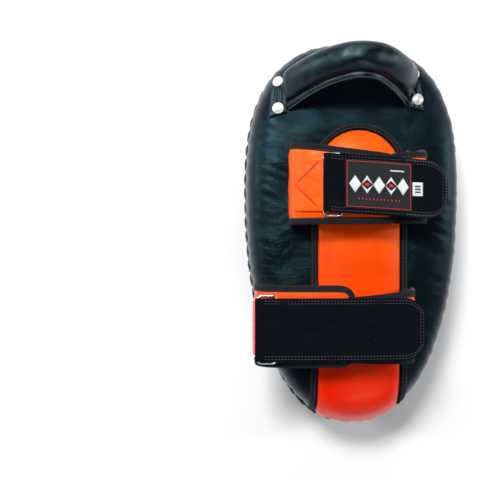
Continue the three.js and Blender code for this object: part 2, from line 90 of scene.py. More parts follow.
# shader maths: a wire is a socket that can be added, multiplied and so on
class Wire:
    def __init__(self, tree, socket=None):
        self.tree, self.socket = tree, socket

    # settings are put on the node first, then values or links on its sockets
    def node(self, kind, settings=None, inputs=None, output=0):
        made = self.tree.nodes.new("ShaderNode" + kind)
        for name, value in (settings or {}).items():
            if name == "stops":
                made.color_ramp.elements[0].position, made.color_ramp.elements[0].color = value[0]
                made.color_ramp.elements[1].position, made.color_ramp.elements[1].color = value[-1]
                for position, colour in value[1:-1]:
                    made.color_ramp.elements.new(position).color = colour
            else:
                setattr(made, name, value)
        for name, value in (inputs or {}).items():
            if isinstance(value, Wire):
                self.tree.links.new(value.socket, made.inputs[name])
            else:
                made.inputs[name].default_value = value
        return Wire(self.tree, made.outputs[output])

    def maths(self, operation, first, second):
        return self.node("Math", {"operation": operation}, {0: first, 1: second})

    def __add__(self, other):
        return self.maths("ADD", self, other)

    def __sub__(self, other):
        return self.maths("SUBTRACT", self, other)

    def __rsub__(self, other):
        return self.maths("SUBTRACT", other, self)

    def __mul__(self, other):
        return self.maths("MULTIPLY", self, other)

    __radd__ = __add__
    __rmul__ = __mul__

    # from low to high, stretched to 0 to 1 and kept there
    def between(self, low, high):
        return self.node("MapRange", {}, {"Value": self, "From Min": low, "From Max": high})

    def size(self):
        return self.maths("ABSOLUTE", self, 0)

    def sine(self, turns):
        return self.maths("SINE", self * (turns * fullTurn), 0)

    # a colour between two others, by this wire
    def tint(self, first, second):
        return self.node("Mix", {"data_type": "RGBA"}, {0: self, 6: first, 7: second}, 2)

    # noise over the object's own coordinates, in patches of (x, y, z) millimetres
    def patches(self, size, detail=3.0, rough=0.55, warp=0.0):
        at = self.node("TexCoord", output=3)
        stretch = tuple(1 / (side * millimetre) for side in size)
        at = self.node("Mapping", {}, {"Vector": at, "Scale": stretch})
        return self.node("TexNoise", {}, {
            "Vector": at, "Scale": 1.0, "Detail": detail, "Roughness": rough, "Distortion": warp})

    # pebbles over the object's own coordinates: 0 in the creases between them
    def pebbles(self, size):
        at = self.node("TexCoord", output=3)
        wobble = self.node("TexNoise", {}, {"Vector": at, "Scale": 700 / size, "Detail": 2.0}, 1)
        at = self.node("Mix", {"data_type": "VECTOR"}, {0: 0.0012 * size, 4: at, 5: wobble}, 1)
        cells = self.node("TexVoronoi", {"feature": "DISTANCE_TO_EDGE"}, {
            "Vector": at, "Scale": 1 / (size * millimetre)})
        return cells.between(0.0, 0.22)

    def axis(self, number):
        at = self.node("TexCoord", output=3)
        return self.node("SeparateXYZ", {}, {0: at}, number)

    # the piece's own map, in metres along and across
    def along(self, number):
        at = self.node("UVMap", {"uv_map": "run"})
        return self.node("SeparateXYZ", {}, {0: at}, number)

    def attribute(self, name):
        return self.node("Attribute", {"attribute_name": name}, output=2)


finishes = {}


# a finish: what varies is given as wires, and sheen, coat and the like as plain numbers
def finish(name, build, **plain):
    material = bpy.data.materials.new(name)
    material.use_nodes = True
    surface = material.node_tree.nodes["Principled BSDF"]
    wire = Wire(material.node_tree)
    made = build(wire)
    height, depth = made.pop("Height", None), made.pop("Depth", 0.3)
    for socket, value in made.items():
        material.node_tree.links.new(value.socket, surface.inputs[socket])
    if height is not None:
        bump = wire.node("Bump", {}, {
            "Strength": 1.0, "Distance": depth * millimetre, "Height": height})
        material.node_tree.links.new(bump.socket, surface.inputs["Normal"])
    for socket, value in plain.items():
        surface.inputs[socket.replace("_", " ")].default_value = value
    finishes[name] = material
    return material


# leather: pebbled grain, fine wrinkles that run across the pad, and paler edges at the laced seam
# that are partly scuffing wear and partly painted highlight
def leather(dark, light, wornAndSheen, wrinkle, polish):
    def build(wire):
        grain = wire.pebbles(0.9)
        wrinkles = wire.patches((16, 3.4, 7), 4.0, 0.6, 0.8)
        folds = (1 - (wrinkles - 0.5).size() * 9).between(0.0, 1.0)
        cloud = wire.patches((55, 55, 55), 3.0)
        wear = wire.attribute("wear")
        colour = cloud.between(0.3, 0.7).tint(dark, light)
        # paler teal-grey on the seam's swollen lobes: scuffing wear together with painted
        # highlight, standing in for the light those lobes catch
        colour = (wear * wire.patches((3, 3, 3)).between(0.25, 0.6)).tint(colour, wornAndSheen)
        return {
            "Base Color": colour,
            "Roughness": (polish + cloud * 0.12 + wear * 0.2 + folds * 0.06),
            "Height": grain * 0.25 + wrinkles * wrinkle - folds * (0.3 * wrinkle)
            + wire.patches((1.2, 1.2, 1.2)) * 0.15,
            "Depth": 0.17,
        }
    return build


# the third colour is the paler seam edge: scuffing wear with painted highlight
finish("blackLeather", leather(
    (0.0012, 0.0035, 0.006, 1), (0.003, 0.007, 0.01, 1), (0.09, 0.12, 0.135, 1), 0.9, 0.14),
    Specular_IOR_Level=0.24, Specular_Tint=(0.35, 0.82, 1, 1))
finish("gripLeather", leather(
    (0.0012, 0.0032, 0.006, 1), (0.003, 0.0068, 0.0105, 1), (0.08, 0.1, 0.11, 1), 0.35, 0.12),
    Specular_IOR_Level=0.45, Specular_Tint=(0.5, 0.85, 1, 1))


# the orange leather is painted yellower at the grip's end of the pad and darker red at its foot:
# painted shade, the light falling off down the pad
def orangeGrain(wire):
    grain = wire.pebbles(0.8)
    upward = wire.axis(1)
    cloud = wire.patches((30, 30, 30), 3.0)
    # painted shade: the colour darkens and reddens from the grip end down to the foot
    colour = upward.between(-0.15, -0.03).tint((0.8, 0.01, 0.0, 1), (0.95, 0.075, 0.0, 1))
    colour = upward.between(-0.03, 0.11).tint(colour, (0.97, 0.135, 0.004, 1))
    colour = (cloud.between(0.35, 0.75) * 0.4).tint(colour, (0.75, 0.03, 0.0, 1))
    colour = wire.attribute("wear").tint(colour, (0.32, 0.02, 0.004, 1))
    return {
        "Base Color": colour, "Roughness": 0.2 + cloud * 0.1,
        "Height": grain * 0.3 + wire.patches((9, 3, 6), 4.0, 0.6, 0.6) * 0.8, "Depth": 0.14,
    }


finish("orangeLeather", orangeGrain, Specular_IOR_Level=0.4, Specular_Tint=(1, 0.55, 0.3, 1))


# tape: narrow ribs across its run, a finer weave along it, a dusty look
def ribbed(wire):
    ribs = wire.along(0).sine(1 / (1.1 * millimetre)) * 0.5 + 0.5
    weave = wire.along(1).sine(1 / (0.7 * millimetre)) * 0.5 + 0.5
    dust = wire.patches((4, 4, 4), 4.0)
    return {
        "Base Color": (ribs * 0.5 + dust * 0.5).tint(
            (0.0025, 0.0035, 0.005, 1), (0.011, 0.014, 0.018, 1)),
        "Roughness": 0.75 + dust * 0.2, "Height": ribs * 0.7 + weave * 0.3, "Depth": 0.25,
    }


finish("blackTape", ribbed, Sheen_Weight=0.02, Sheen_Roughness=0.5, Specular_IOR_Level=0.2)


# the straps' brushed loop pile: soft, nearly black, with lint and brushed patches
def brushed(wire):
    pile = wire.patches((0.9, 0.9, 0.9), 5.0, 0.7)
    combed = wire.patches((14, 5, 14), 4.0, 0.6, 1.0)
    lint = wire.patches((2.2, 2.2, 2.2), 2.0).between(0.7, 0.78)
    colour = (combed * 0.6 + pile * 0.4).between(0.3, 0.75).tint(
        (0.001, 0.0016, 0.0034, 1), (0.0034, 0.0048, 0.0088, 1))
    return {
        "Base Color": (lint * 0.25).tint(colour, (0.08, 0.085, 0.09, 1)),
        "Roughness": 0.86 + pile * 0.12, "Height": pile * 0.6 + combed * 0.5, "Depth": 0.5,
    }


finish("brushedStrap", brushed, Sheen_Weight=0.015, Sheen_Roughness=0.4, Specular_IOR_Level=0.07)


def hooked(wire):
    rows = wire.axis(0).sine(1 / (1.3 * millimetre)) * wire.axis(1).sine(1 / (1.3 * millimetre))
    return {
        "Base Color": rows.between(-0.2, 1.0).tint(
            (0.003, 0.004, 0.005, 1), (0.02, 0.022, 0.025, 1)),
        "Roughness": 0.6 + wire.patches((2, 2, 2)) * 0.2, "Height": rows, "Depth": 0.6,
    }


finish("hookAndLoop", hooked)


def corded(wire):
    twist = (wire.along(0) + wire.along(1) * 0.5).sine(1 / (1.4 * millimetre)) * 0.5 + 0.5
    grime = wire.patches((6, 6, 6), 3.0)
    return {
        "Base Color": (twist * 0.4 + grime * 0.6).tint(
            (0.003, 0.004, 0.006, 1), (0.02, 0.023, 0.027, 1)),
        "Roughness": 0.4 + grime * 0.25, "Height": twist, "Depth": 0.2,
    }


finish("lacingCord", corded, Coat_Weight=0.1)


def porous(wire):
    pores = wire.patches((1.5, 1.5, 1.5), 5.0, 0.7)
    return {
        "Base Color": pores.between(0.3, 0.7).tint((0.16, 0.165, 0.17, 1), (0.34, 0.345, 0.35, 1)),
        "Roughness": 0.9 + pores * 0.1, "Height": pores, "Depth": 0.6,
    }


finish("foam", porous)


def plated(dark, light, rough, scratch):
    def build(wire):
        marks = wire.patches((0.6, 7, 0.6), 5.0, 0.7)
        stain = wire.patches((5, 5, 5), 3.0)
        return {
            "Base Color": stain.between(0.3, 0.7).tint(dark, light),
            "Roughness": rough + marks * 0.12 + stain * 0.1,
            "Height": marks * 0.4 + wire.patches((1.4, 1.4, 1.4), 4.0) * 0.6, "Depth": scratch,
        }
    return build


finish("ringSteel", plated((0.62, 0.63, 0.64, 1), (0.82, 0.83, 0.84, 1), 0.14, 0.06), Metallic=1.0)
finish("rivetMetal", plated((0.6, 0.58, 0.54, 1), (0.83, 0.82, 0.79, 1), 0.3, 0.3), Metallic=0.55)


# woven cloth: threads over and under each other on the object's own x and y
def woven(dark, light, pitch):
    def build(wire):
        across = wire.axis(0).sine(1 / (pitch * millimetre))
        down = wire.axis(1).sine(1 / (pitch * millimetre))
        weave = (across * down) * 0.5 + 0.5
        soil = wire.patches((6, 6, 6), 3.0)
        return {
            "Base Color": (weave * 0.6 + soil * 0.4).tint(dark, light),
            "Roughness": 0.62 + soil * 0.2, "Height": weave, "Depth": 0.2,
        }
    return build


finish("labelCloth", woven((0.003, 0.0045, 0.006, 1), (0.013, 0.017, 0.021, 1), 1.0),
       Sheen_Weight=0.04, Specular_IOR_Level=0.25)
finish("tagCloth", woven((0.62, 0.63, 0.65, 1), (0.86, 0.87, 0.88, 1), 0.9), Sheen_Weight=0.1)


def thread(dark, light):
    def build(wire):
        fuzz = wire.patches((1.0, 1.0, 1.0), 4.0, 0.7)
        return {
            "Base Color": fuzz.between(0.3, 0.7).tint(dark, light),
            "Roughness": 0.55 + fuzz * 0.2, "Height": fuzz, "Depth": 0.15,
        }
    return build


threadShades = {
    "greyThread": ((0.02, 0.023, 0.027, 1), (0.06, 0.067, 0.075, 1)),
    "lintThread": ((0.05, 0.055, 0.06, 1), (0.14, 0.15, 0.16, 1)),
    "darkThread": ((0.008, 0.01, 0.012, 1), (0.02, 0.022, 0.026, 1)),
    "brickThread": ((0.16, 0.008, 0.004, 1), (0.3, 0.016, 0.008, 1)),
    "redThread": ((0.5, 0.008, 0.01, 1), (0.75, 0.02, 0.016, 1)),
    "whiteThread": ((0.6, 0.6, 0.62, 1), (0.8, 0.8, 0.81, 1)),
}
for threadName, shades in threadShades.items():
    finish(threadName, thread(*shades))


world = bpy.data.worlds.new("studio")
scene.world = world
world.use_nodes = True
sky = Wire(world.node_tree)
skyWay = sky.node("TexCoord", output=0)
height = sky.node("SeparateXYZ", {}, {0: skyWay}, 2)
skyColour = height.between(*studio["fade"]).tint(studio["horizon"], studio["zenith"])
world.node_tree.links.new(skyColour.socket, world.node_tree.nodes["Background"].inputs["Color"])


def floorPaint(wire):
    cloud = wire.patches((400, 400, 400), 2.0)
    low = tuple(part * 0.985 for part in studio["floorColour"][:3]) + (1,)
    return {"Base Color": cloud.tint(low, studio["floorColour"]), "Roughness": 0.8 + cloud * 0.1}


finish("floor", floorPaint)
half = studio["floorHalf"]
floorMesh = bpy.data.meshes.new("floor")
floorMesh.from_pydata(
    [(-half, -half, 0), (half, -half, 0), (half, half, 0), (-half, half, 0)], [], [(0, 1, 2, 3)])
floorMesh.materials.append(finishes["floor"])
floor = bpy.data.objects.new("floor", floorMesh)
scene.collection.objects.link(floor)
report("studio and finishes are ready")


# surfaces as whole arrays
def smooth(t):
    t = np.clip(t, 0, 1)
    return t * t * (3 - 2 * t)


# a power that keeps its sign
def powered(value, power):
    return np.sign(value) * np.abs(value) ** power


# vectors of length 1, over the last axis
def unit(vectors):
    return vectors / np.linalg.norm(vectors, axis=-1, keepdims=True)


# length along a path from its start, at each of its points
def runAlong(path):
    return np.concatenate([[0], np.cumsum(np.linalg.norm(np.diff(path, axis=0), axis=-1))])


# the path's points at the given lengths along it
def pointsAt(path, run, lengths):
    return np.stack([np.interp(lengths, run, column) for column in np.asarray(path).T], -1)


# a gentle random swell, about 1 high: a sum of sine waves in random headings, `size` mm long
def swell(x, y, size, seed, waves=7):
    total = 0
    for heading, phase, stretch in np.random.default_rng(seed).random((waves, 3)) * fullTurn:
        pace = fullTurn / (size * (0.6 + stretch / 8))
        total = total + np.sin(pace * (x * np.cos(heading) + y * np.sin(heading)) + phase)
    return total / waves ** 0.5


# quads between neighbouring points of a grid; `looped` joins the last column to the first
def gridFaces(rows, columns, looped=False, start=0):
    index = start + np.arange(rows * columns).reshape(rows, columns)
    if looped:
        index = np.concatenate([index, index[:, :1]], axis=1)
    corners = index[:-1, :-1], index[:-1, 1:], index[1:, 1:], index[1:, :-1]
    return np.stack(corners, -1).reshape(-1, 4)


# one object from parts of (points in mm, quads, triangles or nothing, values for the maps)
def piece(name, parts, material, normals=True):
    points, faces, runs, wearAndSheenLists, start = [], [], [], [], 0
    for part in parts:
        place = np.asarray(part["points"], float).reshape(-1, 3)
        points.append(place)
        faces += [np.asarray(f) + start for f in part["faces"]]
        runs.append(np.asarray(part.get("run", np.zeros((len(place), 2)))).reshape(-1, 2))
        wearAndSheenLists.append(np.asarray(part.get("wear", np.zeros(len(place)))).ravel())
        start += len(place)
    points, corners = np.concatenate(points), np.concatenate([f.ravel() for f in faces])
    sizes = np.concatenate([np.full(len(f), f.shape[1]) for f in faces])
    mesh = bpy.data.meshes.new(name)
    mesh.vertices.add(len(points))
    mesh.vertices.foreach_set("co", (points * millimetre).astype(np.float32).ravel())
    mesh.loops.add(len(corners))
    mesh.loops.foreach_set("vertex_index", corners.astype(np.int32))
    mesh.polygons.add(len(sizes))
    mesh.polygons.foreach_set("loop_start", (np.cumsum(sizes) - sizes).astype(np.int32))
    mesh.update(calc_edges=True)
    wear = mesh.attributes.new("wear", "FLOAT", "POINT")
    wear.data.foreach_set("value", np.concatenate(wearAndSheenLists).astype(np.float32))
    run = mesh.uv_layers.new(name="run")
    maps = np.concatenate(runs)[corners] * millimetre
    run.data.foreach_set("uv", maps.astype(np.float32).ravel())
    if normals:
        shell = bmesh.new()
        shell.from_mesh(mesh)
        bmesh.ops.recalc_face_normals(shell, faces=shell.faces)
        shell.to_mesh(mesh)
        shell.free()
    mesh.polygons.foreach_set("use_smooth", np.ones(len(mesh.polygons), bool))
    mesh.materials.append(finishes[material])
    made = bpy.data.objects.new(name, mesh)
    scene.collection.objects.link(made)
    return made


# puts a piece on the body that it rides on and hides the imported nodes that it stands for
def fitted(made, slot, *nodes, body=None, fill=None):
    if body:
        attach(made, body)
    if nodes:
        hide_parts(*nodes)


# a ringed surface: rows of closed loops, with its first and last row closed to their middles
def turned(rings, run=None, wear=None, closed=True):
    rows, columns = rings.shape[:2]
    points = rings.reshape(-1, 3)
    faces = [gridFaces(rows, columns, True)]
    first, last = np.arange(columns), (rows - 1) * columns + np.arange(columns)
    part = {"run": np.zeros((rows, columns, 2)) if run is None else run,
            "wear": np.zeros((rows, columns)) if wear is None else wear}
    part = {key: value.reshape(rows * columns, -1) for key, value in part.items()}
    if closed:
        centres = [points[first].mean(0), points[last].mean(0)]
        points = np.concatenate([points, centres])
        total = rows * columns
        faces.append(np.stack([np.roll(first, -1), first, np.full(columns, total)], -1))
        faces.append(np.stack([last, np.roll(last, -1), np.full(columns, total + 1)], -1))
        for key, value in part.items():
            part[key] = np.concatenate([value, value[:1], value[-1:]])
    return {"points": points, "faces": faces, **part}


# a slab: two skins on the same grid joined round their rim. place(s, w, h) puts the point that
# is s along, w across and h off the middle; top and foot are the heights of the skins
def slab(place, s, w, top, foot, wear=None):
    rows, columns = s.shape
    upper, lower = place(s, w, top), place(s, w, foot)
    count = rows * columns
    index = np.arange(count).reshape(rows, columns)
    rim = np.concatenate([index[0, :-1], index[:-1, -1], index[-1, :0:-1], index[:0:-1, 0]])
    side = np.stack([rim, np.roll(rim, -1), np.roll(rim, -1) + count, rim + count], -1)
    faces = [gridFaces(rows, columns), gridFaces(rows, columns, start=count)[:, ::-1], side]
    flat = np.stack([s, w], -1).reshape(-1, 2)
    wear = np.zeros(count) if wear is None else wear.ravel()
    return {
        "points": np.concatenate([upper.reshape(-1, 3), lower.reshape(-1, 3)]), "faces": faces,
        "run": np.concatenate([flat, flat]), "wear": np.concatenate([wear, wear]),
    }


# lines from 0 to 1, evenly spaced with more of them inside the soft edge at each end
def lines(count, soft):
    near = soft * np.array([0, 0.06, 0.22, 0.5])
    return np.concatenate([near, np.linspace(soft, 1 - soft, count), 1 - near[::-1]])


# the same between two ends
def spread(low, high, count, soft):
    return low + (high - low) * lines(count, soft)


def crossed(first, second):
    return np.meshgrid(first, second, indexing="ij")


# distance from the nearest side of a rectangle
def fromRim(s, w, first, last, low, high):
    return np.minimum.reduce([s - first, last - s, w - low, high - w])


# how full a padded edge is, `away` mm from it: a quarter circle that starts at `least`
def rounded(away, soft, least=0.25):
    t = np.clip(away / soft, 0, 1)
    return least + (1 - least) * np.sqrt(1 - (1 - t) ** 2)


# a smooth line through points, at `fine` steps for each stretch: the uniform Catmull-Rom cubic
def splined(points, fine=24):
    points = np.asarray(points, float)
    ends = np.concatenate([points[:1], points, points[-1:]])
    t = (np.arange(fine) / fine)[None, :, None]
    a, b, c, d = (ends[i:len(ends) - 3 + i, None, :] for i in range(4))
    v, w = (c - a) / 2, (d - b) / 2
    line = (2 * b - 2 * c + v + w) * t ** 3 + (3 * c - 3 * b - 2 * v - w) * t ** 2 + v * t + b
    return np.concatenate([line.reshape(-1, points.shape[1]), points[-1:]])


# a sheet bent along a line of [x, z] points. Returns its length and place(s, w, h): s along the
# line, straight on past its ends, w is the point's y, h off the line towards `side`
def bent(points, side=1, fine=24):
    line = splined(points, fine)
    run = runAlong(line)
    ways = unit(np.gradient(line, run, axis=0))

    def place(s, w, h):
        s, w, h = np.broadcast_arrays(np.asarray(s, float), w, h)
        inside = np.clip(s, 0, run[-1])
        x, z, wayX, wayZ = (np.interp(inside, run, v) for v in (*line.T, *ways.T))
        size = np.hypot(wayX, wayZ)
        wayX, wayZ = wayX / size, wayZ / size
        past = s - inside
        return np.stack([
            x + wayX * past - side * wayZ * h, w, z + wayZ * past + side * wayX * h], -1)

    return run[-1], place


# a closed section carried along a path on a sheet: path is (s, w), section is (out, h) where
# out is to the right of the path's way
def carried(place, path, section, looped=False):
    path, section = np.asarray(path, float), np.asarray(section, float)
    closedWays = np.roll(path, -1, 0) - np.roll(path, 1, 0)
    ways = unit(closedWays if looped else np.gradient(path, axis=0))
    run = runAlong(path)
    s = path[:, None, 0] + ways[:, None, 1] * section[None, :, 0]
    w = path[:, None, 1] - ways[:, None, 0] * section[None, :, 0]
    girth = np.linspace(0, 12, len(section))
    maps = np.stack(np.broadcast_arrays(run[:, None], girth[None, :]), -1)
    rings = place(s, w, np.broadcast_to(section[None, :, 1], s.shape))
    if looped:
        rings = np.concatenate([rings, rings[:1]])
        maps = np.concatenate([maps, maps[-1:]])
        return turned(rings, maps, closed=False)
    return turned(rings, maps)


# an oval section: x = a * cos^(2/power), y = b * sin^(2/power)
def oval(a, b, sides, power=2.0):
    angle = np.arange(sides) / sides * fullTurn
    power = 2 / power
    return np.stack([a * powered(np.cos(angle), power), b * powered(np.sin(angle), power)], -1)


# corners of a path, rounded by `radius` and with points at least every `step`
def roundedPath(corners, radius, step=3.0):
    corners = np.asarray(corners, float)
    out = [corners[:1]]
    for before, at, after in zip(corners[:-2], corners[1:-1], corners[2:]):
        first, last = at + unit(before - at) * radius, at + unit(after - at) * radius
        t = np.linspace(0, 1, 7)[:, None]
        out.append((1 - t) ** 2 * first + 2 * t * (1 - t) * at + t ** 2 * last)
    out.append(corners[-1:])
    path = np.concatenate(out)
    run = runAlong(path)
    even = np.unique(np.concatenate([run, np.linspace(0, run[-1], max(2, int(run[-1] / step)))]))
    return pointsAt(path, run, even)


# threads from a to b: little barrels, five rings of six, half of each above the cloth
def threads(a, b, up, radius):
    a, b, up = (np.asarray(v, float).reshape(-1, 3) for v in (a, b, up))
    way = (b - a) / 2
    up = unit(up)
    side = unit(np.cross(way, up))
    stops = np.array([-1, -0.8, 0, 0.8, 1])
    fat = radius * np.array([0.35, 0.85, 1, 0.85, 0.35])
    angle = np.arange(6) / 6 * fullTurn
    rise = np.array([0, 0.5, 0.8, 0.5, 0]) * radius
    aside = (fat[:, None] * np.cos(angle))[None, :, :, None]
    above = (fat[:, None] * np.sin(angle) * 0.8 + rise[:, None])[None, :, :, None]
    middle, way, side, up = (v[:, None, None] for v in ((a + b) / 2, way, side, up))
    points = middle + way * stops[None, :, None, None] + side * aside + up * above
    ring = gridFaces(5, 6, True)
    caps = np.array([[5, 4, 3, 2], [5, 2, 1, 0], [24, 25, 26, 27], [24, 27, 28, 29]])
    one = np.concatenate([ring, caps])
    faces = one[None] + (np.arange(len(a)) * 30)[:, None, None]
    return {"points": points.reshape(-1, 3), "faces": [faces.reshape(-1, 4)]}


# a row of stitches along a path of (s, w) on a sheet, `height` above its middle
def sewn(place, path, height, pitch=3.0, share=0.68, radius=0.42, cross=0.0):
    path = np.asarray(path, float)
    run = runAlong(path)
    count = max(1, int(run[-1] / pitch))
    middle = (np.arange(count) + 0.5) * run[-1] / count

    def at(length, lift, aside=0.0):
        s, w = pointsAt(path, run, length).T
        return place(s, w + aside, np.full_like(s, height) + lift)

    reach = pitch * share / 2
    ends = at(middle - reach, 0, -cross), at(middle + reach, 0, cross)
    return threads(*ends, at(middle, 1) - at(middle, 0), radius)


# a stuffed piece: remeshed evenly, blown up as cloth with some points held, and smoothed.
# Points travel no further than `reach` mm
def blownUp(made, voxel, pressure, reach, held, stiff=12.0, frames=20):
    bpy.context.view_layer.objects.active = made
    made.select_set(True)
    remesh = made.modifiers.new("even", "REMESH")
    remesh.mode, remesh.voxel_size, remesh.use_smooth_shade = "VOXEL", voxel * millimetre, True
    bpy.ops.object.modifier_apply(modifier="even")
    made.select_set(False)
    rest = corners(made)
    group = made.vertex_groups.new(name="held")
    weights = np.clip(held(rest), 0, 1)
    for level in (0.25, 0.5, 0.75, 1.0):
        chosen = np.flatnonzero((weights > level - 0.25) & (weights <= level))
        if len(chosen):
            group.add(chosen.tolist(), level, "REPLACE")
    cloth = made.modifiers.new("stuffing", "CLOTH")
    settings = cloth.settings
    settings.use_pressure, settings.uniform_pressure_force = True, pressure
    settings.effector_weights.gravity = 0
    settings.tension_stiffness = settings.compression_stiffness = stiff
    settings.bending_stiffness = 0.6
    settings.quality, settings.mass = 5, 0.4
    settings.vertex_group_mass = "held"
    cloth.point_cache.frame_start, cloth.point_cache.frame_end = 1, frames
    for step in range(1, frames + 1):
        scene.frame_set(step)
    shown = made.evaluated_get(bpy.context.evaluated_depsgraph_get())
    moved = corners(shown) - rest
    travel = np.linalg.norm(moved, axis=1)[:, None]
    moved *= np.minimum(1, reach / np.maximum(travel, 1e-6))
    made.modifiers.remove(cloth)
    scene.frame_set(1)
    made.data.vertices.foreach_set(
        "co", ((rest + moved) * millimetre).astype(np.float32).ravel())
    made.data.update()
    made.data.polygons.foreach_set("use_smooth", np.ones(len(made.data.polygons), bool))
    finer = made.modifiers.new("finer", "SUBSURF")
    finer.levels = finer.render_levels = 1
    return made


def corners(made):
    mesh = made.data
    points = np.zeros(len(mesh.vertices) * 3, np.float32)
    mesh.vertices.foreach_get("co", points)
    return points.reshape(-1, 3).astype(float) / millimetre


# the pad's own shape: an egg outline, a rounded back and a flat striking face
egg = {
    "halfWidth": 106, "widestY": 45, "topReach": 145, "topPower": 2.6, "bottomReach": 235,
    "bottomPower": 2.25, "backHeight": 100, "seam": 56, "shoulder": 0.62, "shoulderPower": 3.6,
    "faceShare": 0.86, "faceCorner": 36, "tuck": 1.2, "lip": 2.4,
}


# two half superellipses: x = (share * half width + grow) * cos^(2/power), and
# y = widest line + (share * reach + grow) * sin^(2/power)
def eggPoint(angle, share, grow):
    upper = np.sin(angle) >= 0
    reach = np.where(upper, egg["topReach"], egg["bottomReach"])
    power = 2 / np.where(upper, egg["topPower"], egg["bottomPower"])
    x = (share * egg["halfWidth"] + grow) * powered(np.cos(angle), power)
    return x, egg["widestY"] + (share * reach + grow) * powered(np.sin(angle), power)


def eggShare(x, y):
    upper = y >= egg["widestY"]
    reach = np.where(upper, egg["topReach"], egg["bottomReach"])
    power = np.where(upper, egg["topPower"], egg["bottomPower"])
    return (np.abs(x / egg["halfWidth"]) ** power
            + np.abs((y - egg["widestY"]) / reach) ** power) ** (1 / power)


# height of the back: over = share past the shoulder, z = seam + rise * (1 - over^p)^(1/p)
def backOfShare(share):
    over = np.clip((share - egg["shoulder"]) / (1 - egg["shoulder"]), 0, 1)
    power = egg["shoulderPower"]
    return egg["seam"] + (egg["backHeight"] - egg["seam"]) * (1 - over ** power) ** (1 / power)


def backOf(x, y):
    return backOfShare(eggShare(x, y))


# place(x, y, h): h off the back, along its own slope there
def offBack(x, y, h):
    x, y, h = np.broadcast_arrays(np.asarray(x, float), y, h)
    step = 0.5
    slopeX = (backOf(x + step, y) - backOf(x - step, y)) / (2 * step)
    slopeY = (backOf(x, y + step) - backOf(x, y - step)) / (2 * step)
    up = unit(np.stack([-slopeX, -slopeY, np.ones_like(slopeX)], -1))
    return np.stack([x, y, backOf(x, y)], -1) + up * h[..., None]


# the foot's shoulder is drawn in by `tuck` above the seam and its edge stands out by `lip` at the
# seam, both growing over the last 40 mm of y
def tucked(points):
    y, z = points[..., 1], points[..., 2]
    above = smooth((z - 57) / 9)
    shift = egg["tuck"] * above - egg["lip"] * (1 - above) * smooth((z - 34) / 14)
    points[..., 1] = y + shift * smooth((-140 - y) / 40)
    return points


# angles that divide the outline into equal lengths, and its whole length
def evenAngles(count):
    fine = np.linspace(0, fullTurn, 60001)
    x, y = eggPoint(fine, 1.0, 0.0)
    run = runAlong(np.stack([x, y], -1))
    return np.interp(np.arange(count) / count * run[-1], run, fine), run[-1]


# the laced covers
covers = {
    "columns": 792, "stitches": 66, "pucker": 2.6, "puckerReach": 15.0, "pleat": 0.55,
    "pleatReach": 26.0, "strikeHole": -0.3, "backHole": 0.3, "wrinkle": 0.35,
}
columnAngle, girth = evenAngles(covers["columns"])
stitchPhase = np.arange(covers["columns"]) / covers["columns"] * covers["stitches"]


# the leather swells between two holes and is drawn in at them: |sin(pi * phase)|^0.6, less near
# its mean, fading with the distance from the seam; longer pleats run on from every hole
def scallop(phase, fromSeam, amount):
    ruffle = np.abs(np.sin(np.pi * phase)) ** 0.6 - 0.62
    near = np.exp(-(np.abs(fromSeam) / covers["puckerReach"]) ** 1.6)
    far = np.exp(-np.abs(fromSeam) / covers["pleatReach"])
    uneven = 1 + 0.35 * swell(phase * 15, 0 * phase, 55, 4)
    pleats = np.sin(fullTurn * phase + 1.3 * swell(phase * 15, 0 * phase, 40, 5)) * uneven
    return amount * ruffle * near + covers["pleat"] * pleats * far * (1 - near)


# rows of (share, height, grow) carried round the outline, with the wall turned in at the seam
def coverShell(profile, inner, hole, seam, seed):
    share, height, grow = (np.array(v, float)[:, None] for v in zip(*profile))
    phase = (stitchPhase - hole)[None, :]
    x, y = eggPoint(columnAngle[None, :], share, grow)
    outX, outY = unit(np.stack(eggPoint(columnAngle, 1.0, 6.0), -1)
                      - np.stack(eggPoint(columnAngle, 1.0, 0.0), -1)).T
    side = smooth((share - 0.8) / 0.2)
    push = scallop(phase, height - seam, covers["pucker"]) * side
    creases = swell(x * 0.35, y + 0.2 * x, 13, seed) * 0.6 + swell(x, y, 46, seed + 1)
    creases = covers["wrinkle"] * creases * (1 - side * 0.5)
    fade = smooth(np.minimum(share * 6, 1))
    z = height + creases * (1 - side) * fade * np.sign(height - seam)
    x, y = x + outX * (push + creases * side), y + outY * (push + creases * side)
    lip = np.exp(-(np.abs(height - seam) / 2.2) ** 2)
    lobes = np.abs(np.sin(np.pi * phase))
    z = np.maximum(z - np.sign(seam - egg["seam"]) * 0.9 * lip * (lobes - 0.5), 0)
    # the swollen lobes between holes at the seam are marked paler: scuffing wear and painted
    # highlight together
    wear = 0.8 * lip ** 0.7 * np.clip(lobes * 1.5 - 0.5, 0, 1)
    outer = np.stack(np.broadcast_arrays(x, y, z), -1)
    share, height, grow = (np.array(v, float)[:, None] for v in zip(*inner))
    x, y = eggPoint(columnAngle[None, :], share, grow)
    wall = np.stack(np.broadcast_arrays(x, y, height), -1)
    rings = tucked(np.concatenate([outer, wall]))
    return turned(rings, wear=np.concatenate([wear, np.zeros(wall.shape[:2])]))


# the striking side turns up as a quarter ellipse: share = 0.86 + 0.14 sin, height = 36 (1 - cos)
def turnedUp(t):
    share = egg["faceShare"] + (1 - egg["faceShare"]) * np.sin(t)
    return share, egg["faceCorner"] * (1 - np.cos(t))


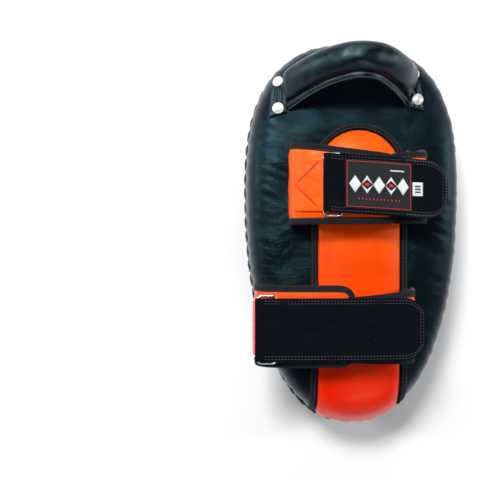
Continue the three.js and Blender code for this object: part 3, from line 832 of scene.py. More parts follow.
# then the wall goes up to the rolled lip
turnUp = np.linspace(0, np.pi / 2, 13)
strikeProfile = [(s, 0.0, 0.0) for s in (0.01, 0.1, 0.25, 0.4, 0.55, 0.68, 0.78)]
strikeProfile += [(*turnedUp(t), 0.0) for t in turnUp]
strikeProfile += [(1.0, z, g) for z, g in (
    (38.5, 0.2), (41, 0.5), (43.5, 0.8), (46, 1.1), (48, 1.2), (49.8, 1.1), (51.3, 0.8),
    (52.4, 0.2), (53.0, -0.6), (53.2, -1.6), (52.8, -2.6))]
strikeInner = [(1.0, 51.0, -2.9), (1.0, 45.0, -2.2), (1.0, 38.0, -1.9)]
strikeInner += [(s, max(1.8, z), -1.8) for s, z in map(turnedUp, turnUp[::-3])]
strikeInner += [(0.5, 1.8, 0.0), (0.01, 1.8, 0.0)]
strikeCover = piece("strikeCover", [coverShell(
    strikeProfile, strikeInner, covers["strikeHole"], 53.2, 11)], "blackLeather")
fitted(strikeCover, "black_leather", "strike_cover", body="pad_body", fill=0.95)

# the back: down from its middle over the shoulder to the seam, and the rolled lip under it
turnDown = np.linspace(np.pi / 2, 0.0, 27)
backOver = np.cos(turnDown) ** (2 / egg["shoulderPower"])
backShares = egg["shoulder"] + (1 - egg["shoulder"]) * backOver
backHeights = backOfShare(backShares)
backProfile = [(s, 100.0, 0.0) for s in np.linspace(0.01, 0.6, 24)]
backProfile += [(s, z, 0.0) for s, z in zip(backShares, backHeights) if z > 71]
backProfile += [(1.0, z, g) for z, g in (
    (69, -0.1), (66.5, -0.1), (64.5, -0.2), (63, -0.5), (61.6, -1.0), (60.4, -1.7), (59.4, -2.6),
    (58.8, -3.6), (58.9, -4.4))]
backInner = [(1.0, 60.5, -4.6), (1.0, 66.0, -2.6)]
backInner += [(s, z - 1.8, -1.8) for s, z in zip(backShares[::-4], backHeights[::-4]) if z > 72]
backInner += [(0.4, 98.2, 0.0), (0.01, 98.2, 0.0)]
backCover = piece("backCover", [coverShell(
    backProfile, backInner, covers["backHole"], 58.8, 23)], "blackLeather")
fitted(backCover, "black_leather", "back_cover", body="pad_body", fill=0.9)
report("covers are stitched")

# the lacing: an inner welt with a thick slanted stitch at every pitch
lacing = {"reach": 4.6, "low": 51.2, "high": 60.4, "fat": 1.55, "bulge": 0.9}
centre = (np.arange(covers["stitches"]) + 0.5) / covers["stitches"]
angles, _ = evenAngles(covers["stitches"] * 200)


# a stitch leans along the outline as it climbs the seam and bulges out: out = bulge * sin(pi t)
def laceRings():
    t = np.linspace(0, 1, 13)[None, :]
    along = centre[:, None] * girth + (t - 0.5) * 2 * lacing["reach"]
    spot = (along / girth * len(angles)) % len(angles)
    angle = np.interp(spot, np.arange(len(angles) + 1), np.append(angles, fullTurn))
    arc = np.sin(np.pi * t)
    grow = 0.2 - 1.2 * t + lacing["bulge"] * arc - 2.2 * (1 - arc) ** 3
    x, y = eggPoint(angle, 1.0, grow)
    z = lacing["low"] + (lacing["high"] - lacing["low"]) * smooth(t) + 0 * along
    line = tucked(np.stack([x, y, z], -1))
    way = unit(np.gradient(line, axis=1))
    innerX, innerY = eggPoint(angle, 1.0, -8.0)
    side = unit(np.cross(way, np.stack([x - innerX, y - innerY, 0 * x], -1)))
    out = np.cross(side, way)
    fat = lacing["fat"] * (0.35 + 0.65 * arc ** 0.6)
    turn = np.arange(10) / 10 * fullTurn
    return (line[:, :, None] + side[:, :, None] * (fat[..., None] * np.cos(turn))[..., None]
            + out[:, :, None] * (fat[..., None] * 0.72 * np.sin(turn))[..., None]), along


laceLines, laceRun = laceRings()
laceParts = []
for ringSet, runSet in zip(laceLines, laceRun):
    maps = np.stack(np.broadcast_arrays(runSet[:, None], np.linspace(0, 9, 10)[None, :]), -1)
    laceParts.append(turned(ringSet, maps))
weltTurn = np.arange(16) / 16 * fullTurn
weltX, weltY = eggPoint(columnAngle[::3, None], 1.0, -3.6 + 2.3 * np.cos(weltTurn)[None, :])
weltRings = np.stack([weltX, weltY, 56 + 3.0 * np.sin(weltTurn)[None, :] + 0 * weltX], -1)
laceParts.append(turned(tucked(np.concatenate([weltRings, weltRings[:1]])), closed=False))
edgeLacing = piece("edgeLacing", laceParts, "lacingCord")
fitted(edgeLacing, "lacing_cord", "edge_lacing", body="pad_body")
report("edges are laced")

# the forearm cushion, bound with tape, running from its arch over the foot of the pad
cushion = {
    "middleX": 4, "halfWidth": 41, "archY": 60, "archReach": 41.5, "rise": 13, "edge": 1.6,
    "tape": 6, "tapeRise": 3.0, "endHeight": 63, "tapeEnd": 66,
    "rim": 1.3, "sink": 2.8, "pitch": 13.4, "notch": 2.8, "lobe": 1.1, "ruffle": 1.0,
}

# the shoulder's own curve along the middle line, by length
shoulderTurn = np.linspace(np.pi / 2, 0, 400)
shoulderOver = np.cos(shoulderTurn) ** (2 / egg["shoulderPower"])
shoulderShares = egg["shoulder"] + (1 - egg["shoulder"]) * shoulderOver
shoulderHeights = backOfShare(shoulderShares)


def footY(x, share):
    across = np.abs(x / egg["halfWidth"]) ** egg["bottomPower"]
    return egg["widestY"] - egg["bottomReach"] * (
        share ** egg["bottomPower"] - across) ** (1 / egg["bottomPower"])


shoulderRun = runAlong(np.stack([footY(cushion["middleX"], shoulderShares), shoulderHeights], -1))
cushionEnd, tapeEnd = np.interp(
    [-cushion["endHeight"], -cushion["tapeEnd"]], -shoulderHeights, shoulderRun)


# v where a line down the shoulder has gone `run` mm from its start
def footEnd(x, run):
    return footY(x, egg["shoulder"]) - run


# place(x, v, h) on the back by length: v is y on the flat, and runs on down the shoulder
def alongFoot(x, v, h):
    x, v, h = np.broadcast_arrays(np.asarray(x, float), v, h)

    def spot(x, v):
        start = footY(x, egg["shoulder"])
        below = np.maximum(0, start - v)
        share = np.interp(below, shoulderRun, shoulderShares)
        y = np.where(v > start, v, footY(x, share))
        return np.stack([x, y, np.interp(below, shoulderRun, shoulderHeights)], -1)

    step = 0.6
    acrossWay = spot(x + step, v) - spot(x - step, v)
    alongWay = spot(x, v + step) - spot(x, v - step)
    up = unit(np.cross(acrossWay, alongWay))
    return tucked(spot(x, v) + up * h[..., None])


# 0 on the cushion's middle line and 1 at its edge, on the legs and round the arch
def cushionOut(x, v, inset=0.0):
    across = (x - cushion["middleX"]) / (cushion["halfWidth"] - inset)
    tall = np.clip(v - cushion["archY"], 0, None) / (cushion["archReach"] - inset)
    return np.sqrt(across ** 2 + tall ** 2)


# the arch: width falls as an ellipse above archY, and the height above the back is
# rise * (1 - out^2.8)^0.55, lower down the foot
def cushionSlab(inset, rise):
    archY, reach = cushion["archY"], cushion["archReach"] - inset
    v = np.concatenate([
        archY + reach * np.sin(np.linspace(np.pi / 2 - 0.06, 0, 20)),
        np.linspace(archY, footEnd(cushion["middleX"], cushionEnd), 74)[1:]])
    u = np.sin(np.linspace(-np.pi / 2, np.pi / 2, 33))
    wide = (cushion["halfWidth"] - inset) * np.sqrt(1 - np.clip((v - archY) / reach, 0, 1) ** 2)
    x = cushion["middleX"] + wide[:, None] * u[None, :]
    # every column of the legs ends at the same height
    stretch = (archY - footEnd(x, cushionEnd)) / (archY - v[-1])
    v = v[:, None] + 0 * x
    v = np.where(v < archY, archY + (v - archY) * stretch, v)
    depth = (alongFoot(x, v, 0)[..., 2] - egg["seam"]) / (egg["backHeight"] - egg["seam"])
    high = smooth((np.clip(depth, 0, 1) - 0.62) / 0.38)
    full = cushion["edge"] + (rise - cushion["edge"]) * high
    dome = np.clip(1 - cushionOut(x, v, inset) ** 2.8, 0, 1) ** 0.55
    top = cushion["rim"] + (full - cushion["rim"]) * dome
    return slab(alongFoot, x, v, top, np.full_like(top, -cushion["sink"]))


armCushion = piece("armCushion", [cushionSlab(0.6, cushion["rise"] - 2.5)], "orangeLeather")


# held down near the back, at the sewn edge and over the foot
def heldDown(points):
    x, y, z = points.T
    off = np.where(y > -120, z - backOf(x, y), 9)
    return np.maximum.reduce([
        1.2 - off / 3.0, smooth((cushionOut(x, y) - 0.9) / 0.08), smooth((y + 150) / -25)])


# the foot's edge is gathered: swollen lobes with notches between, |sin(pi x / pitch)|^0.6
def gathered(made):
    points = corners(made)
    x, y, z = points.T
    lobes = np.abs(np.sin(np.pi * (x - cushion["middleX"] + 3) / cushion["pitch"])) ** 0.6
    lobes = lobes + 0.18 * swell(x, 0 * x, 31, 77)
    fromEnd = np.maximum(0, y - footY(x, endShare) - 6)
    above = np.maximum(0, z - cushion["endHeight"])
    near = np.exp(-(fromEnd / 6) ** 2 - (above / 5) ** 2)
    y += cushion["notch"] * (1 - lobes) * near
    y -= cushion["lobe"] * lobes * np.exp(-(above / 22) ** 2 - (fromEnd / 14) ** 2)
    z += cushion["ruffle"] * (lobes - 0.3) * np.exp(-fromEnd / 12) * smooth((y + 120) / -30)
    made.data.vertices.foreach_set("co", (points * millimetre).astype(np.float32).ravel())
    made.data.update()


endShare = np.interp(cushionEnd, shoulderRun, shoulderShares)
blownUp(armCushion, 3.2, 4.0, 2.6, heldDown)
gathered(armCushion)
fitted(armCushion, "orange_leather", "arm_pad_cover", "arm_pad_foam", body="pad_body", fill=0.75)

archTurn = np.linspace(0, np.pi, 49)


def archPath(out):
    arch = np.stack([
        cushion["middleX"] + (cushion["halfWidth"] + out) * np.cos(archTurn),
        cushion["archY"] + (cushion["archReach"] + out) * np.sin(archTurn)], -1)
    right, left = (
        np.stack([np.full(89, x), np.linspace(footEnd(x, tapeEnd), cushion["archY"], 90)[:-1]], -1)
        for x in (arch[0, 0], arch[-1, 0]))
    left = left[::-1]
    return np.concatenate([right, arch, left])


# the tape thins towards its ends, to 0.15 of its height
def onTape(x, v, h):
    return alongFoot(x, v, h * (1 - 0.85 * smooth((footEnd(x, tapeEnd) + 40 - v) / 38)))


tapeHalf, tapeMiddle = cushion["tape"] / 2, cushion["tapeRise"] / 2
tapeSection = oval(tapeHalf, tapeMiddle, 16, 3.0) + [0, tapeMiddle + 0.2]
armBinding = piece("armBinding", [carried(onTape, archPath(tapeHalf), tapeSection)], "blackTape")
fitted(armBinding, "black_tape", "arm_pad_binding", body="pad_body")
armStitches = piece("armStitches", [
    sewn(onTape, archPath(out), cushion["tapeRise"] + 0.1, 3.4, 0.62, 0.36)
    for out in (1.4, 4.7)], "greyThread")
fitted(armStitches, "black_tape", body="pad_body")
report("arm cushion is stuffed and bound")

# the hand grip: a stuffed roll with a sewn flange, on two pleated and riveted tabs
grip = {
    "line": [(-68, 139.5, 107), (-53, 147.5, 122), (-31, 155.5, 141), (-4, 160, 152),
             (19, 158, 148), (38, 150.5, 133), (54, 142.5, 108.5)],
    "halfWidth": 15.4, "halfHeight": 13, "setBack": 1.2, "flange": 4.6, "flangeAt": 14, "cut": 0.5,
}
gripLine = splined(grip["line"])
gripRun = runAlong(gripLine)
gripWays = np.gradient(gripLine, gripRun, axis=0)


# place(s, a, b): s along the grip, a to its near side, b up; the roll flattens to its ends by
# 0.4 + 0.6 * sin(pi * s)^0.6
def onGrip(s, a, b):
    s, a, b = np.broadcast_arrays(np.asarray(s, float), a, b)
    at, way = pointsAt(gripLine, gripRun, s), unit(pointsAt(gripWays, gripRun, s))
    at = at + way * (s - np.clip(s, 0, gripRun[-1]))[..., None]
    side = unit(np.cross(way, (0, 0, 1)))
    over = np.cross(side, way)
    full = 0.4 + 0.6 * np.clip(np.sin(np.pi * s / gripRun[-1]), 0, 1) ** 0.6
    return at + side * a[..., None] + over * (b * full)[..., None]


def gripRoll(shrink):
    s = gripRun[-1] * (0.5 - 0.5 * np.cos(np.pi * np.linspace(0.0, 1, 61)))
    angle = np.arange(48) / 48 * fullTurn
    a = (grip["halfWidth"] - shrink) * powered(np.cos(angle), 0.85)
    b = (grip["halfHeight"] - shrink) * powered(np.sin(angle), 0.85)
    near = np.exp(-np.minimum(s, gripRun[-1] - s) / 9)[:, None]
    pinch = 1 - 0.05 * near * (1 + np.cos(angle * 9)[None, :])
    crease = 0.5 * swell(s[:, None], 10 * angle[None, :], 17, 8) * (1 - near)
    a = a[None, :] * pinch - grip["setBack"]
    middle = s[:, None] / gripRun[-1] * 2 - 1
    return turned(onGrip(
        s[:, None] + grip["cut"] * a * middle ** 3, a, b[None, :] * pinch + crease * np.sign(b)))


gripCover = piece("gripCover", [gripRoll(0.9)], "gripLeather")


def heldAtEnds(points):
    ends = np.minimum(np.linalg.norm(points - gripLine[0], axis=1),
                      np.linalg.norm(points - gripLine[-1], axis=1))
    return smooth((20 - ends) / 8)


blownUp(gripCover, 4.0, 4.0, 2.6, heldAtEnds)
fitted(gripCover, "black_leather", "handle_cover", "handle_foam", body="pad_body", fill=0.85)

flangeRun = np.linspace(-8, gripRun[-1] + 8, 90)
flangePath = np.stack([flangeRun, np.full(90, grip["flangeAt"] + grip["flange"] / 2 - 1.2)], -1)
flangeSection = oval(grip["flange"] / 2 + 1.2, 1.5, 14, 3.0)
gripFlange = piece("gripFlange", [
    carried(onGrip, flangePath, flangeSection),
    carried(onGrip, flangePath + [0, grip["flange"] / 2 + 0.9], oval(0.7, 1.9, 10)),
], "gripLeather")
fitted(gripFlange, "black_leather", "handle_welt", body="pad_body")

flangeEdge = grip["flangeAt"] + np.array([0.4, 3.9])
gripStitches = piece("gripStitches", [
    sewn(onGrip, np.stack([flangeRun, np.full(90, edge)], -1), 1.6, 2.6, 0.7, 0.36)
    for edge in flangeEdge], "lintThread")
fitted(gripStitches, "black_leather", body="pad_body")

gripTabs = {
    "left": {"leftSide": [(-84, 112), (-79, 152.5)], "rightSide": [(-66, 117), (-66, 157)],
             "rivets": {"lower": (-74.5, 121.5), "upper": (-73.5, 147.5)}},
    "right": {"leftSide": [(51, 123), (50, 163)],
              "rightSide": [(67.5, 118.5), (64.5, 143), (56, 163.5)],
              "rivets": {"lower": (60.5, 130), "upper": (57, 155)}},
}
tabLook = {"thickness": 3.0, "lift": 0.3, "pleats": 3.5, "pleatHeight": 0.6}


# a tab between two side lines: point = left * (1 - a) + right * a, both taken at b
def tabSpot(tab, a, b):
    sides = []
    for line in (tab["leftSide"], tab["rightSide"]):
        line = np.array(line, float)
        stops = np.linspace(0, 1, len(line))
        sides.append([np.interp(b, stops, line[:, k]) for k in (0, 1)])
    (leftX, leftY), (rightX, rightY) = sides
    return leftX * (1 - a) + rightX * a, leftY * (1 - a) + rightY * a


for tabName, tab in gripTabs.items():
    a, b = np.meshgrid(lines(18, 0.14), lines(26, 0.07))
    x, y = tabSpot(tab, a, b)
    edge = np.minimum(rounded(np.minimum(a, 1 - a), 0.14), rounded(np.minimum(b, 1 - b), 0.07))
    pleats = np.sin(a * tabLook["pleats"] * fullTurn) * np.sin(np.pi * b) ** 0.5
    top = tabLook["lift"] + tabLook["thickness"] * edge + tabLook["pleatHeight"] * pleats * edge
    for rivetX, rivetY in tab["rivets"].values():
        away = np.hypot(x - rivetX, y - rivetY)
        top = top - 0.8 * np.exp(-(away / 6.5) ** 4) * (away < 20)
    tabPiece = piece(f"gripTab_{tabName}", [
        slab(offBack, x, y, top, np.full_like(top, 0.05))], "gripLeather")
    fitted(tabPiece, "black_leather", f"handle_tab_{tabName}", body="pad_body")
    inset = np.array([(0.12, 0.98), (0.12, 0.05), (0.88, 0.05), (0.88, 0.98)])
    ring = roundedPath(inset, 0.03, 0.05)
    seam = np.stack(tabSpot(tab, *ring.T), -1)
    tabStitches = piece(f"gripTabStitches_{tabName}", [
        sewn(offBack, seam, 3.25, 2.8, 0.66, 0.34)], "greyThread")
    fitted(tabStitches, "black_leather", body="pad_body")

    # a rivet's domed cap: radius and height of its rings, on the back's own slope
    for row, (x, y) in tab["rivets"].items():
        step = 2.0
        up = unit(np.array([backOf(x - step, y) - backOf(x + step, y),
                            backOf(x, y - step) - backOf(x, y + step), 2 * step]))
        side = unit(np.cross(up, (0, 1, 0)))
        far = np.cross(up, side)
        profile = np.array([
            (1.6, -4), (1.6, 3.0), (5.0, 3.1), (5.5, 3.4), (5.55, 3.8), (5.35, 4.15), (4.9, 4.35),
            (4.6, 4.3), (4.2, 4.5), (3.2, 4.95), (2.0, 5.25), (0.8, 5.35)])
        turn = np.arange(32) / 32 * fullTurn
        ringWay = side[None] * np.cos(turn)[:, None] + far[None] * np.sin(turn)[:, None]
        base = np.array([x, y, backOf(x, y)])
        rings = base + ringWay[None] * profile[:, None, None, 0] + up * profile[:, None, None, 1]
        cap = piece(f"rivetCap_{tabName}_{row}", [turned(rings)], "rivetMetal")
        fitted(cap, "rivet_metal", f"rivet_{tabName}_{row}", body="pad_body")
report("hand grip is riveted on")

# the cuffs
cuffs = {
    "upper": {
        "ringFlap": [(-54, 104.5), (-60.5, 110), (-62, 120), (-57, 131), (-44, 137.5),
                     (-20, 139.5), (5, 140), (20, 139.5), (32, 138.5)],
        "ringFlapY": (8, 84), "ringFlapSlope": 0.13, "ringFlapBase": (101.5, 108),
        "strapFlap": [(55, 104.5), (61, 110), (62.4, 120), (60, 130), (54, 136), (46, 136.5),
                      (38, 132.5), (26, 130.5)],
        "strapFlapY": (9, 76), "strapFlapSlope": -0.06, "strapFlapBase": (101.5, 108),
        "frayLength": 44,
        "keeper": [(-61, 134.5), (-53, 140.6), (-45, 143.2), (-37.5, 145)], "keeperY": (20, 69),
        "bar": (-34.6, 147), "ringY": (14.8, 73.8),
        "strap": [(-32.4, 152.2), (-10, 152.4), (12, 152), (32, 150.8), (50, 147), (66, 142),
                  (81, 137.5)],
        "strapMiddle": 46, "strapHalf": 27, "strapFall": 0.062, "strapBack": 1.6,
        "overcast": True, "hook": (44, 76), "loop": (44, 60),
    },
    "lower": {
        "ringFlap": [(-86, 102), (-93, 107), (-95, 117), (-93.5, 128), (-88, 135), (-78, 138.6),
                     (-60, 140), (-30, 140.8), (-5, 140.5)],
        "ringFlapY": (-125, -49), "ringCorner": 16, "ringFlapSlope": 0, "ringFlapBase": (101, 110),
        "strapFlap": [(48.8, 110.5), (50.8, 118), (49.8, 127), (44, 134), (33, 137.5), (18, 138.5),
                      (4, 135.5), (-6, 131.5), (-16, 130.5)],
        "strapFlapY": (-122, -54), "strapFlapSlope": -0.12, "strapFlapBase": (104, 114),
        "frayLength": 16,
        "keeper": [(-99.5, 116), (-99.5, 126), (-99.4, 136), (-98.8, 141.4), (-97.4, 144.6)],
        "keeperY": (-113, -65),
        "bar": (-95.4, 147), "ringY": (-121, -57),
        "strap": [(-93.2, 152.2), (-70, 152.2), (-40, 151.6), (-10, 150.6), (15, 149),
                  (38, 145.5), (60, 140.5)],
        "strapMiddle": -89, "strapHalf": 29, "strapFall": 0, "strapBack": 3.4,
        "overcast": False, "hook": (12, 50), "loop": (10, 44),
    },
}
flapLook = {
    "ringThickness": 7, "strapThickness": 6, "corner": 9, "tape": 6.8, "tapeWall": 0.9, "under": 7,
    "soft": 9, "edgeShare": 0.72, "frayed": 46,
}


# a padded flap on a bent sheet with round far corners, its tape, stitches and frayed ends
def makeFlap(cuffName, cuff, kind):
    line, (low, high) = cuff[kind + "Flap"], cuff[kind + "FlapY"]
    slope, (baseLow, baseHigh) = cuff[kind + "FlapSlope"], cuff[kind + "FlapBase"]
    thick = flapLook[kind + "Thickness"]
    outside = 1 if kind == "ring" else -1
    length, place = bent(line, outside)
    body = f"{cuffName}_{kind}_side"
    name = f"{cuffName}{kind.capitalize()}Flap"
    node = f"{cuffName}_{kind}_flap"

    def farEdge(s):
        x = place(np.clip(s, 0, length), 0, 0)[..., 0]
        return high - slope * (x - line[0][0])

    def blendOn(made):
        start, end = ((0, 0, z * millimetre) for z in (baseLow, baseHigh))
        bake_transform(made)
        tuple(start)
        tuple(end)

    # the padding: thickness is least at the tape and full `soft` mm inside it
    corner = cuff.get(kind + "Corner", flapLook["corner"])
    under = flapLook["under"]
    s = -under + (length - 0.8 + under) * lines(64, 0.04)
    u = lines(34, 0.05)
    into = np.clip(s - (length - corner), 0, corner - 0.4)
    inset = 0.9 + corner - np.sqrt(corner ** 2 - into ** 2)
    s, u = s[:, None] + 0 * u[None, :], u[None, :] + 0 * s[:, None]
    w = low + inset[:, None] + (farEdge(s) - low - 2 * inset[:, None]) * u
    away = np.minimum(np.minimum(w - low, farEdge(s) - w), length - s) - 0.9
    free = flapLook["edgeShare"] + (1 - flapLook["edgeShare"]) * rounded(
        away - flapLook["tape"] + 1.4, flapLook["soft"], 0)
    puff = free * rounded(away + 0.6, 1.6, 0.5)
    puff = puff * (1 - 0.25 * smooth((3 - s) / 8))
    ripples = 0.2 * swell(s, w * 0.5, 15, 31 + len(node)) * smooth((away - flapLook["tape"]) / 8)
    full = thick / 2 * puff
    flap = piece(name, [slab(place, s, w, full + ripples, -full)], "orangeLeather")
    blendOn(flap)
    fitted(flap, "orange_leather", node, fill=0.5)

    # the tape folds round the three free edges
    def edgePath(inset, radius):
        end, first, last = length - inset, low + inset, high - inset
        path = roundedPath([(-under, first), (end, first), (end, last), (-under, last)], radius)
        share = (path[:, 1] - low) / (high - low)
        return np.stack([path[:, 0], path[:, 1] - share * (high - farEdge(path[:, 0]))], -1)

    path = edgePath(0.0, corner)
    halfTape = thick / 2 * flapLook["edgeShare"] + flapLook["tapeWall"]
    section = oval(flapLook["tape"] / 2, halfTape, 20, 4.0) - [flapLook["tape"] / 2 - 0.3, 0]
    tape = piece(name + "Tape", [carried(place, path, section)], "blackTape")
    blendOn(tape)
    fitted(tape, "black_tape", node + "_tape")
    inner = edgePath(5.0, corner - 5)
    rows = [sewn(place, inner, side * (halfTape - 0.05), 3.0, 0.64, 0.36) for side in (1, -1)]
    stitches = piece(name + "Stitches", rows, "greyThread")
    blendOn(stitches)
    fitted(stitches, "black_tape")
    if kind == "strap":
        # loose warp ends stand out of the far edge, where the tape has begun to fray
        chance, ends = np.random.default_rng(len(node) + 5), flapLook["frayed"]
        root = 4 + cuff["frayLength"] * chance.random(ends)
        lean = chance.normal(0, 1.2, ends)
        reach = 0.6 + 1.3 * chance.random(ends)
        lift = chance.normal(0, 0.8, ends)
        edge = farEdge(root)
        up = place(root, edge, 2.0) - place(root, edge, 1.0)
        frayed = threads(place(root, edge - 1.5, halfTape * 0.9),
                         place(root + lean, edge + reach, halfTape * 0.4 + lift), up, 0.2)
        fray = piece(name + "Fray", [frayed], "lintThread")
        blendOn(fray)
        fitted(fray, "black_tape")
    return length, place, body, node


# seen from above a strap has straight sides and a round tip: over its last `tip` mm its
# half width is half * (1 - t^2.6)^(1/2.2)
strapLook = {"thickness": 3.2, "tip": 24, "soft": 2.2, "roll": 1.9}


def strapShape(cuff):
    length, place = bent(cuff["strap"], 1)
    hingeX = cuff["strap"][0][0]

    def middle(s):
        return cuff["strapMiddle"] - cuff["strapFall"] * (place(s, 0, 0)[..., 0] - hingeX)

    def halfAt(s):
        t = np.clip((s - (length - strapLook["tip"])) / strapLook["tip"], 0, 0.9995)
        return cuff["strapHalf"] * (1 - t ** 2.6) ** (1 / 2.2)

    return length, place, middle, halfAt


def makeStrap(cuffName, cuff):
    length, place, middle, halfAt = strapShape(cuff)
    body = f"{cuffName}_strap_tail"

    # runs from `first` to the tip, closer together as the tip narrows
    def toTip(first, rows, tipRows):
        straight = np.linspace(first, length - strapLook["tip"], rows)[:-1]
        tip = length - strapLook["tip"] * np.cos(np.linspace(0, np.pi / 2, tipRows)) ** 1.4
        return np.concatenate([straight, tip])

    back = cuff["strapBack"]
    s = toTip(-back, 60, 26)
    u = lines(36, 0.045)
    s, u = s[:, None] + 0 * u[None, :], 2 * u[None, :] - 1 + 0 * s[:, None]
    halves = halfAt(s)
    w = middle(s) + halves * u
    away = np.minimum(halves * (1 - np.abs(u)), (length - s) * 1.4)
    full = rounded(away, strapLook["soft"], 0.4)
    seam = 0.25 * np.exp(-((away - 4.5) / 0.9) ** 2)
    lumps = 0.22 * swell(s, w, 24, 61 + len(body)) * rounded(away, 8, 0)
    top = strapLook["thickness"] / 2 * full - seam + lumps
    foot = -strapLook["thickness"] / 2 * full + lumps
    # its near end is a fold: a round edge just behind the hinge line
    turn = np.arange(20) / 20 * fullTurn
    end, fat = np.array([(-1.0, 0.35), (-0.995, 0.6), (-0.985, 0.85), (-0.96, 1.0)]).T
    y = cuff["strapMiddle"] + cuff["strapHalf"] * np.append(end, -end[::-1])[:, None]
    fat = strapLook["roll"] * np.append(fat, fat[::-1])[:, None]
    hingeX, hingeZ = cuff["strap"][0]
    rings = np.stack(np.broadcast_arrays(
        hingeX - back + fat * np.cos(turn), y, hingeZ + 0.92 * fat * np.sin(turn)), -1)
    strap = piece(f"{cuffName}Strap", [
        slab(place, s, w, top, foot), turned(rings)], "brushedStrap")
    fitted(strap, "black_webbing", f"{cuffName}_strap", body=body)

    def edgePath(inset, start=3.0):
        t = np.minimum(toTip(start, 50, 24), length - inset * 1.1)
        side = np.maximum(halfAt(t) - inset, 0)
        there, back = (np.stack([t, middle(t) + way * side], -1) for way in (-1, 1))
        path = np.concatenate([there, back[::-1]])
        step = np.linalg.norm(np.diff(path, axis=0), axis=1)
        return path[np.concatenate([[True], step > 0.05])]

    rows = [sewn(place, edgePath(inset), 1.36, 3.0, 0.66, 0.34) for inset in (2.4, 4.9)]
    # hand-sewn ticks across the edge, from 40 mm before the tip and round it
    outer, inner = edgePath(0.5, length - 42), edgePath(3.2, length - 42)
    share = np.linspace(0, 1, 44)
    ticks = []
    for edge in (outer, inner):
        run = runAlong(edge)
        ticks.append(pointsAt(edge, run, share * run[-1]).T)
    if cuff["overcast"]:
        (outS, outW), (inS, inW) = ticks
        up = place(inS, inW, 2.0) - place(inS, inW, 1.0)
        rows.append(threads(place(outS, outW, 1.0), place(inS, inW, 1.55), up, 0.42))
    stitches = piece(f"{cuffName}StrapStitches", rows, "greyThread")
    fitted(stitches, "black_webbing", body=body)

    hook = piece(f"{cuffName}HookPatch", [patch(
        place, middle, cuff["hook"], cuff["strapHalf"] - 4, -2.4, length, halfAt)], "hookAndLoop")
    fitted(hook, "hook_and_loop", f"{cuffName}_hook_patch", body=body)
    return length, place, middle


# a thin patch on a sheet between two x, kept inside the sheet's own half width
def patch(place, middle, span, halfWide, height, length, halfAt):
    far = np.linspace(0, length, 800)
    x = place(far, 0, 0)[..., 0]
    order = np.argsort(x)
    first, last = np.interp(span, x[order], far[order])
    s, u = crossed(spread(first, last, 20, 0.05), spread(-1, 1, 16, 0.05))
    wide = np.minimum(halfWide, halfAt(s) - 3)
    away = fromRim(s, wide * u, min(first, last), max(first, last), -wide, wide)
    edge = 0.5 * rounded(away, 1.2, 0.5)
    return slab(place, s, middle(s) + wide * u, height + edge, height - edge)


# the wire ring: a round wire round a rectangle with round corners
ringLook = {"wire": 2.8, "width": 19, "corner": 5.0}


def makeRing(cuffName, cuff):
    barX, barZ = cuff["bar"]
    low, high = cuff["ringY"]
    wire = ringLook["wire"] / 2
    right = barX + ringLook["width"] - 2 * wire
    corner = ringLook["corner"] - wire
    near, far = barX + corner, right - corner
    first, last = low + wire + corner, high - wire - corner
    loop = []
    for quarter, x, y in ((-1, far, first), (0, far, last), (1, near, last), (2, near, first)):
        turn = (quarter + np.linspace(0, 1, 9)) / 4 * fullTurn
        loop.append(np.stack([x + corner * np.cos(turn), y + corner * np.sin(turn)], -1))
    loop = np.concatenate(loop)

    def flat(x, y, h):
        return np.stack(np.broadcast_arrays(x, y, barZ + h), -1)

    ring = piece(f"{cuffName}Ring", [
        carried(flat, loop, oval(wire, wire, 14), looped=True)], "ringSteel")
    fitted(ring, "ring_steel", f"{cuffName}_ring", body=f"{cuffName}_ring_link")

    # the strap's sewn return round the far bar
    middle, half = (low + high) / 2, (high - low) / 2 - 2 * wire - 1
    turn = np.linspace(-np.pi / 2, np.pi / 2, 15)
    nose = np.stack([right + 2.6 * np.cos(turn), barZ + 2.6 * np.sin(turn)], -1)
    tail = np.stack([right - 9 - 2.6 * np.cos(turn), barZ - 2.6 * np.sin(turn)], -1)
    loopLine = np.concatenate([nose, tail, nose[:1]])
    length, place = bent(loopLine, 1, 2)
    s, w = crossed(length * np.linspace(0, 1, 64), spread(middle - half, middle + half, 20, 0.05))
    thick = 0.62 * rounded(half - np.abs(w - middle), 1.5, 0.4)
    strapLoop = piece(f"{cuffName}StrapLoop", [slab(place, s, w, thick, -thick)], "brushedStrap")
    fitted(strapLoop, "black_webbing", f"{cuffName}_strap_loop", body=f"{cuffName}_ring_link")


